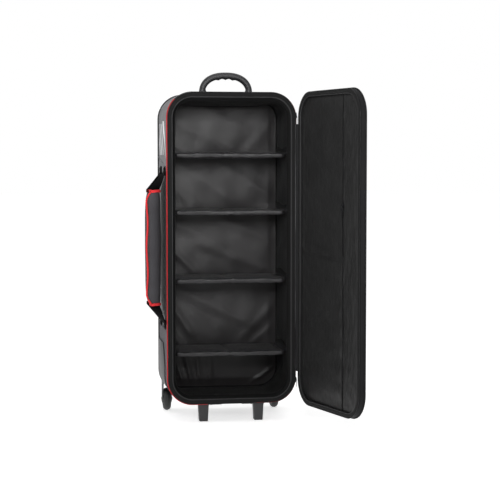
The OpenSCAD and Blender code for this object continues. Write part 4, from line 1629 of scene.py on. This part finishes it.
@dataclass(frozen=True)
class Door:
    """The door: padded outer fabric, lining, and a lining pocket with an upright zip."""

    outline: Outline
    swing: Swing
    depth: float = 24 * MM
    fabric: float = 1.6 * MM
    rim_back: float = 5.6 * MM
    lining_y: float = -13.4 * MM
    wall_in: float = 11.6 * MM
    pocket_y: float = -12.1 * MM
    zip_reach: float = 297 * MM
    zip_half_w: float = 7 * MM
    zip_low: float = 110 * MM
    zip_high: float = 75 * MM

    @property
    def zip_x(self) -> float:
        """The x of the pocket's zip on the closed door."""
        return self.swing.x - self.zip_reach

    def put(self, wardrobe: Wardrobe, obj: bpy.types.Object, slot: str, *nodes: str) -> None:
        """Swings a piece open and dresses it."""
        finish = "door_lining" if slot == "lining" else ""
        wardrobe.dress(self.swing.open(obj), "door", slot, *nodes, finish=finish)

    def build(self, wardrobe: Wardrobe) -> None:
        """Makes the door."""
        line = self.outline
        gusset = line.band("door_gusset", (0, 1), (-self.depth, -self.rim_back), self.fabric)
        self.put(wardrobe, gusset, "black_fabric", "door_fabric")
        edge_x, edge_z = line.half_a - 42 * MM, line.half_b - 42 * MM
        frame = Loop(edge_x, edge_z, 45 * MM)

        def swell(x: np.ndarray, z: np.ndarray) -> np.ndarray:
            """The padding's crown, drawn in along a stitched line."""
            dx = np.maximum(np.abs(x) - (frame.half_a - frame.radius), 0)
            dz = np.maximum(np.abs(z - line.mid_z) - (frame.half_b - frame.radius), 0)
            ring = np.hypot(dx, dz) - frame.radius
            groove = -1.6 * MM * np.exp(-((ring / (6 * MM)) ** 2))
            edge = np.minimum(line.half_a - np.abs(x), line.half_b - np.abs(z - line.mid_z))
            return groove + 2.4 * MM * np.clip(edge / 0.05, 0, 1) + 0.4 * MM * rumple(x, z, 0.16, 3.3)

        face = line.panel("door_face", 0.4 * MM, -self.depth, self.fabric, swell)
        self.put(wardrobe, face, "black_fabric", "door_fabric")
        share = np.linspace(0, 1, 500)
        x, z, _, _ = frame.run(share)
        row = stitches("door_stitches", [np.column_stack([x, np.full_like(x, -self.depth - 0.6 * MM),
                                                          line.mid_z + z])], [np.array([0.0, -1.0, 0.0])])
        self.put(wardrobe, row, "black_fabric")
        piping = line.moulding("door_edge_piping", (0, 1), Loop(2.6 * MM, 2.6 * MM, 2.6 * MM), 1 * MM,
                               -self.depth + 2.6 * MM)
        self.put(wardrobe, piping, "black_fabric", "door_piping")
        walls = line.band("door_lining_walls", (0, 1), (self.lining_y, -3.8 * MM), 1 * MM, inward=True,
                          grow=-self.wall_in)
        self.put(wardrobe, walls, "lining", "door_lining")
        floor = line.panel("door_lining_floor", self.wall_in, self.lining_y, 1 * MM,
                           lambda x, z: np.zeros_like(x), rear=True, cell=12 * MM)
        self.put(wardrobe, floor, "lining", "door_lining")
        self.pocket(wardrobe)

    def pocket_relief(self, x: np.ndarray, z: np.ndarray) -> np.ndarray:
        """How the pocket's panel lies: a sewn line across, folds that fan from it, and a slack zip edge."""
        line, cross = self.outline, 545 * MM
        away = np.abs(x - self.zip_x) - self.zip_half_w
        loose = np.clip((600 * MM - z) / (200 * MM), 0, 1) * np.exp(-np.maximum(away, 0) / (35 * MM))
        side = np.where(x > self.zip_x, 1.0, 0.4)
        folds = creased(x, z, [
            Crease((0.19, cross + 0.004), (self.zip_x + 0.012, cross - 0.006), 5 * MM, -3.2 * MM),
            Crease((0.17, cross + 0.030), (0.02, cross + 0.012), 12 * MM, 2.6 * MM),
            Crease((0.16, 0.90), (-0.02, 0.80), 22 * MM, 2.6 * MM),
            Crease((0.14, 0.75), (-0.05, 0.66), 19 * MM, 2.4 * MM),
            Crease((0.18, 0.307), (0.02, 0.372), 11 * MM, 2.2 * MM),
            Crease((0.17, 0.19), (-0.03, 0.26), 13 * MM, 1.8 * MM),
            Crease((-0.13, 0.92), (-0.17, 0.55), 12 * MM, 2.0 * MM),
            Crease((-0.14, 0.46), (-0.17, 0.22), 12 * MM, 2.2 * MM),
        ])
        edge = np.clip((line.half_a - self.wall_in - np.abs(x)) / 0.02, 0, 1)
        edge = edge * np.clip((line.half_b - self.wall_in - np.abs(z - line.mid_z)) / 0.02, 0, 1)
        ripple = loose * (2.2 * MM + 2.0 * MM * np.sin(2 * np.pi * z / 0.062 + 1.0))
        ripple = ripple * np.clip(away / (9 * MM), 0, 1)
        strip = np.where(x < self.zip_x, 1.5 * MM, 0.5 * MM) * (1 + rumple(3 * x, z, 0.07, 2.7))
        return edge * (folds + 0.6 * MM + 0.5 * MM * rumple(x, z, 0.11, 6.1) + strip) + ripple * side

    def pocket(self, wardrobe: Wardrobe) -> None:
        """The pocket's two panels and its zip."""
        line = self.outline
        inset = self.wall_in + 1 * MM
        half = line.half_a - inset
        reach = self.zip_half_w - 1.2 * MM
        wide, narrow = ((self.zip_x + reach) / half, 1.0), (-1.0, (self.zip_x - reach) / half)
        for name, spread in (("pocket_panel_wide", wide), ("pocket_panel_narrow", narrow)):
            panel = line.panel(name, inset, self.pocket_y, 0.8 * MM, self.pocket_relief, spread, rear=True,
                               cell=5 * MM)
            self.put(wardrobe, panel, "lining", "pocket_panel")
        low, high = line.bottom + self.zip_low, line.top - self.zip_high
        corner_low = (self.zip_x - self.zip_half_w, self.pocket_y - 1.0 * MM, low - 12 * MM)
        corner_high = (self.zip_x + self.zip_half_w, self.pocket_y - 0.2 * MM, high + 12 * MM)
        tape = block("pocket_tape", corner_low, corner_high, 1 * MM, 0.3 * MM)
        self.put(wardrobe, tape, "zip_tape", "pocket_zip_tape")
        z = np.linspace(low, high, 200)
        run = np.column_stack([np.full_like(z, self.zip_x), np.full_like(z, self.pocket_y + 0.8 * MM), z])
        coil = copies("pocket_coil", bean(1.2 * MM, 3.0 * MM, 2.0 * MM),
                      strung([run], [np.array([0.0, 1.0, 0.0])], 2.2 * MM))
        self.put(wardrobe, coil, "zip_chain", "pocket_zip_chain")


@dataclass(frozen=True)
class HingeStrip:
    """The fabric strip that the door hangs on, from the right wall round to the door's side."""

    outline: Outline
    swing: Swing
    thick: float = 1.2 * MM
    wall_reach: float = 25 * MM
    door_reach: float = 18 * MM
    margin: float = 20 * MM

    def build(self, wardrobe: Wardrobe) -> None:
        """Makes the strip, which bends between the bag and the door."""
        line = self.outline
        out = line.half_a + self.thick
        turn = self.swing.matrix
        body_end, body_edge = Vector((out, self.wall_reach, 0)), Vector((out, 1.5 * MM, 0))
        door_edge = turn @ Vector((out, -2.5 * MM, 0))
        door_end = turn @ Vector((out, -self.door_reach, 0))
        low = line.mid_z - line.half_b + line.radius + self.margin
        high = line.mid_z + line.half_b - line.radius - self.margin
        bow = (body_edge + door_edge) / 2 + Vector((-0.8 * MM, -2.4 * MM, 0))
        share = np.linspace(0, 1, 9)[:, None]
        bend = [np.array(p) for p in (body_edge, bow, door_edge)]
        curve = (1 - share) ** 2 * bend[0] + 2 * share * (1 - share) * bend[1] + share**2 * bend[2]
        run = np.vstack([[body_end], curve, [door_end]])
        reach = np.r_[0.0, np.cumsum(np.linalg.norm(np.diff(run, axis=0), axis=1))]

        def shape(u: np.ndarray, v: np.ndarray) -> np.ndarray:
            """u runs from the wall to the door and v upwards."""
            ease = u * reach[-1]
            x, y = (np.interp(ease, reach, run[:, k]) for k in (0, 1))
            return np.column_stack([x, y, low + (high - low) * v])

        strip = lay("hinge_strip", (60, 100), shape, (float(reach[-1]), high - low), self.thick)
        wardrobe.dress(strip, None, "black_fabric", "hinge_strip_body", "hinge_strip_door")
        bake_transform(strip)


@dataclass(frozen=True)
class Gear:
    """The hard parts below and beside the bag: corner guards, feet, and the zips' sliders."""

    def build(self, wardrobe: Wardrobe) -> None:
        """Makes rounded versions of the plain CAD parts."""
        for node, name, width in (
            ("wheel_housing_left", "corner_guard_left", 1.1 * MM),
            ("wheel_housing_right", "corner_guard_right", 1.1 * MM),
            ("foot_left", "front_foot_left", 1.6 * MM),
            ("foot_right", "front_foot_right", 1.6 * MM),
        ):
            wardrobe.dress(softened(node, name, width), "bag", "moulded_black", node)
        for node, body in (("zip_slider_upper", "zip_upper"), ("zip_pull_upper", "zip_upper"),
                           ("zip_slider_lower", "zip_lower"), ("zip_pull_lower", "zip_lower"),
                           ("pocket_slider", "pocket_slider"), ("pocket_pull", "pocket_pull")):
            wardrobe.dress(softened(node, f"soft_{node}", 0.35 * MM, 2), body, "slider_metal", node)


# ---- The studio ----


@dataclass(frozen=True)
class Studio:
    """The camera, the floor, the lights and the pale surroundings."""

    eye: tuple[float, float, float] = (-0.729, -4.751, 0.850)
    heading: tuple[float, float] = (0.1633, 0.9866)
    tilt: float = 3.485
    lens: float = 108.0
    sensor: float = 36.0
    sky: float = 0.42

    def build(self) -> None:
        """Sets up the studio."""
        self.camera()
        self.floor()
        self.surroundings()
        self.lamp("key", (-0.35, -3.0, 1.45), (0.05, 0.1, 0.82), 0.8, 3.8, 40.0)
        self.lamp("left", (-2.6, -0.6, 1.6), (-0.2, 0.1, 0.6), 1.6, 12.0)
        self.lamp("top", (0.0, 0.2, 3.0), (0.0, 0.1, 0.5), 2.4, 20.0)

    def camera(self) -> None:
        """The camera, level but for a slight downward tilt."""
        data = bpy.data.cameras.new("camera")
        data.lens, data.sensor_width = self.lens, self.sensor
        cam = bpy.data.objects.new("camera", data)
        bpy.context.scene.collection.objects.link(cam)
        drop = -math.tan(math.radians(self.tilt)) * math.hypot(*self.heading)
        cam.location = self.eye
        cam.rotation_euler = Vector((*self.heading, drop)).to_track_quat("-Z", "Y").to_euler()
        bpy.context.scene.camera = cam

    def floor(self) -> None:
        """A large pale floor."""
        bpy.ops.object.select_all(action="DESELECT")
        bpy.ops.mesh.primitive_plane_add(size=60.0)
        floor = bpy.context.object
        floor.name = "floor"
        board = Board("floor")
        tone = board.mix(board.noise(3.0, 2.0), paint(248, 248, 248), paint(252, 252, 252))
        glow = {"Emission Color": (1.0, 1.0, 1.0, 1.0), "Emission Strength": 0.62}
        floor.data.materials.append(board.shade(None, {"Base Color": tone, "Roughness": 0.9, **glow}))

    def surroundings(self) -> None:
        """An even, nearly white sky."""
        world = bpy.data.worlds.new("surroundings")
        world.use_nodes = True
        tree = world.node_tree
        back = tree.nodes["Background"]
        back.inputs["Color"].default_value = (1.0, 1.0, 1.0, 1.0)
        seen = tree.nodes.new("ShaderNodeMapRange")
        seen.inputs["To Min"].default_value = self.sky
        tree.links.new(tree.nodes.new("ShaderNodeLightPath").outputs["Is Camera Ray"], seen.inputs["Value"])
        tree.links.new(seen.outputs["Result"], back.inputs["Strength"])
        bpy.context.scene.world = world
        bpy.context.scene.view_settings.view_transform = "Standard"

    def lamp(self, name: str, place: tuple[float, float, float], target: tuple[float, float, float],
             size: float, power: float, spread: float = 180.0) -> None:
        """A soft square lamp that faces a target.

        Args:
            name: The lamp's name.
            place: Where it hangs.
            target: The point that it faces.
            size: The length of its sides.
            power: Its power in watts.
            spread: The angle that its grid lets the light fan out to, in degrees.
        """
        data = bpy.data.lights.new(name, "AREA")
        data.size, data.energy, data.spread = size, power, math.radians(spread)
        lamp = bpy.data.objects.new(name, data)
        bpy.context.scene.collection.objects.link(lamp)
        lamp.location = place
        lamp.rotation_euler = (Vector(target) - Vector(place)).to_track_quat("-Z", "Y").to_euler()


def main() -> None:
    """Builds the bag's pieces around the CAD model, then the studio."""
    logging.basicConfig(level=logging.INFO, format="%(name)s %(message)s")
    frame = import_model()
    joints = frame["joints"]
    outline = Outline.from_frame(joints)
    swing = Swing.from_frame(joints)
    wardrobe = Wardrobe.open()
    wardrobe.dress_frame(frame)
    Shell(outline).build(wardrobe)
    Rim(outline, "", "bag", 0.0, 1.0, (1.8 * MM, 13 * MM), 14.4 * MM).build(wardrobe)
    Piping(outline).build(wardrobe)
    Interior(outline).build(wardrobe)
    for number in (1, 2, 3, 4):
        Shelf(number).build(wardrobe)
    TopHandle().build(wardrobe, outline)
    SideHandle(outline).build(wardrobe)
    door_rim = Rim(outline, "door_", "door", -0.8 * MM, -1.0, (1.6 * MM, 12.6 * MM), 13.6 * MM, swing, 3 * MM,
                   1.8 * MM, (0.0, 4.8 * MM))
    door_rim.build(wardrobe)
    Door(outline, swing).build(wardrobe)
    HingeStrip(outline, swing).build(wardrobe)
    Gear().build(wardrobe)
    Studio().build()


if __name__ == "__main__":
    main()
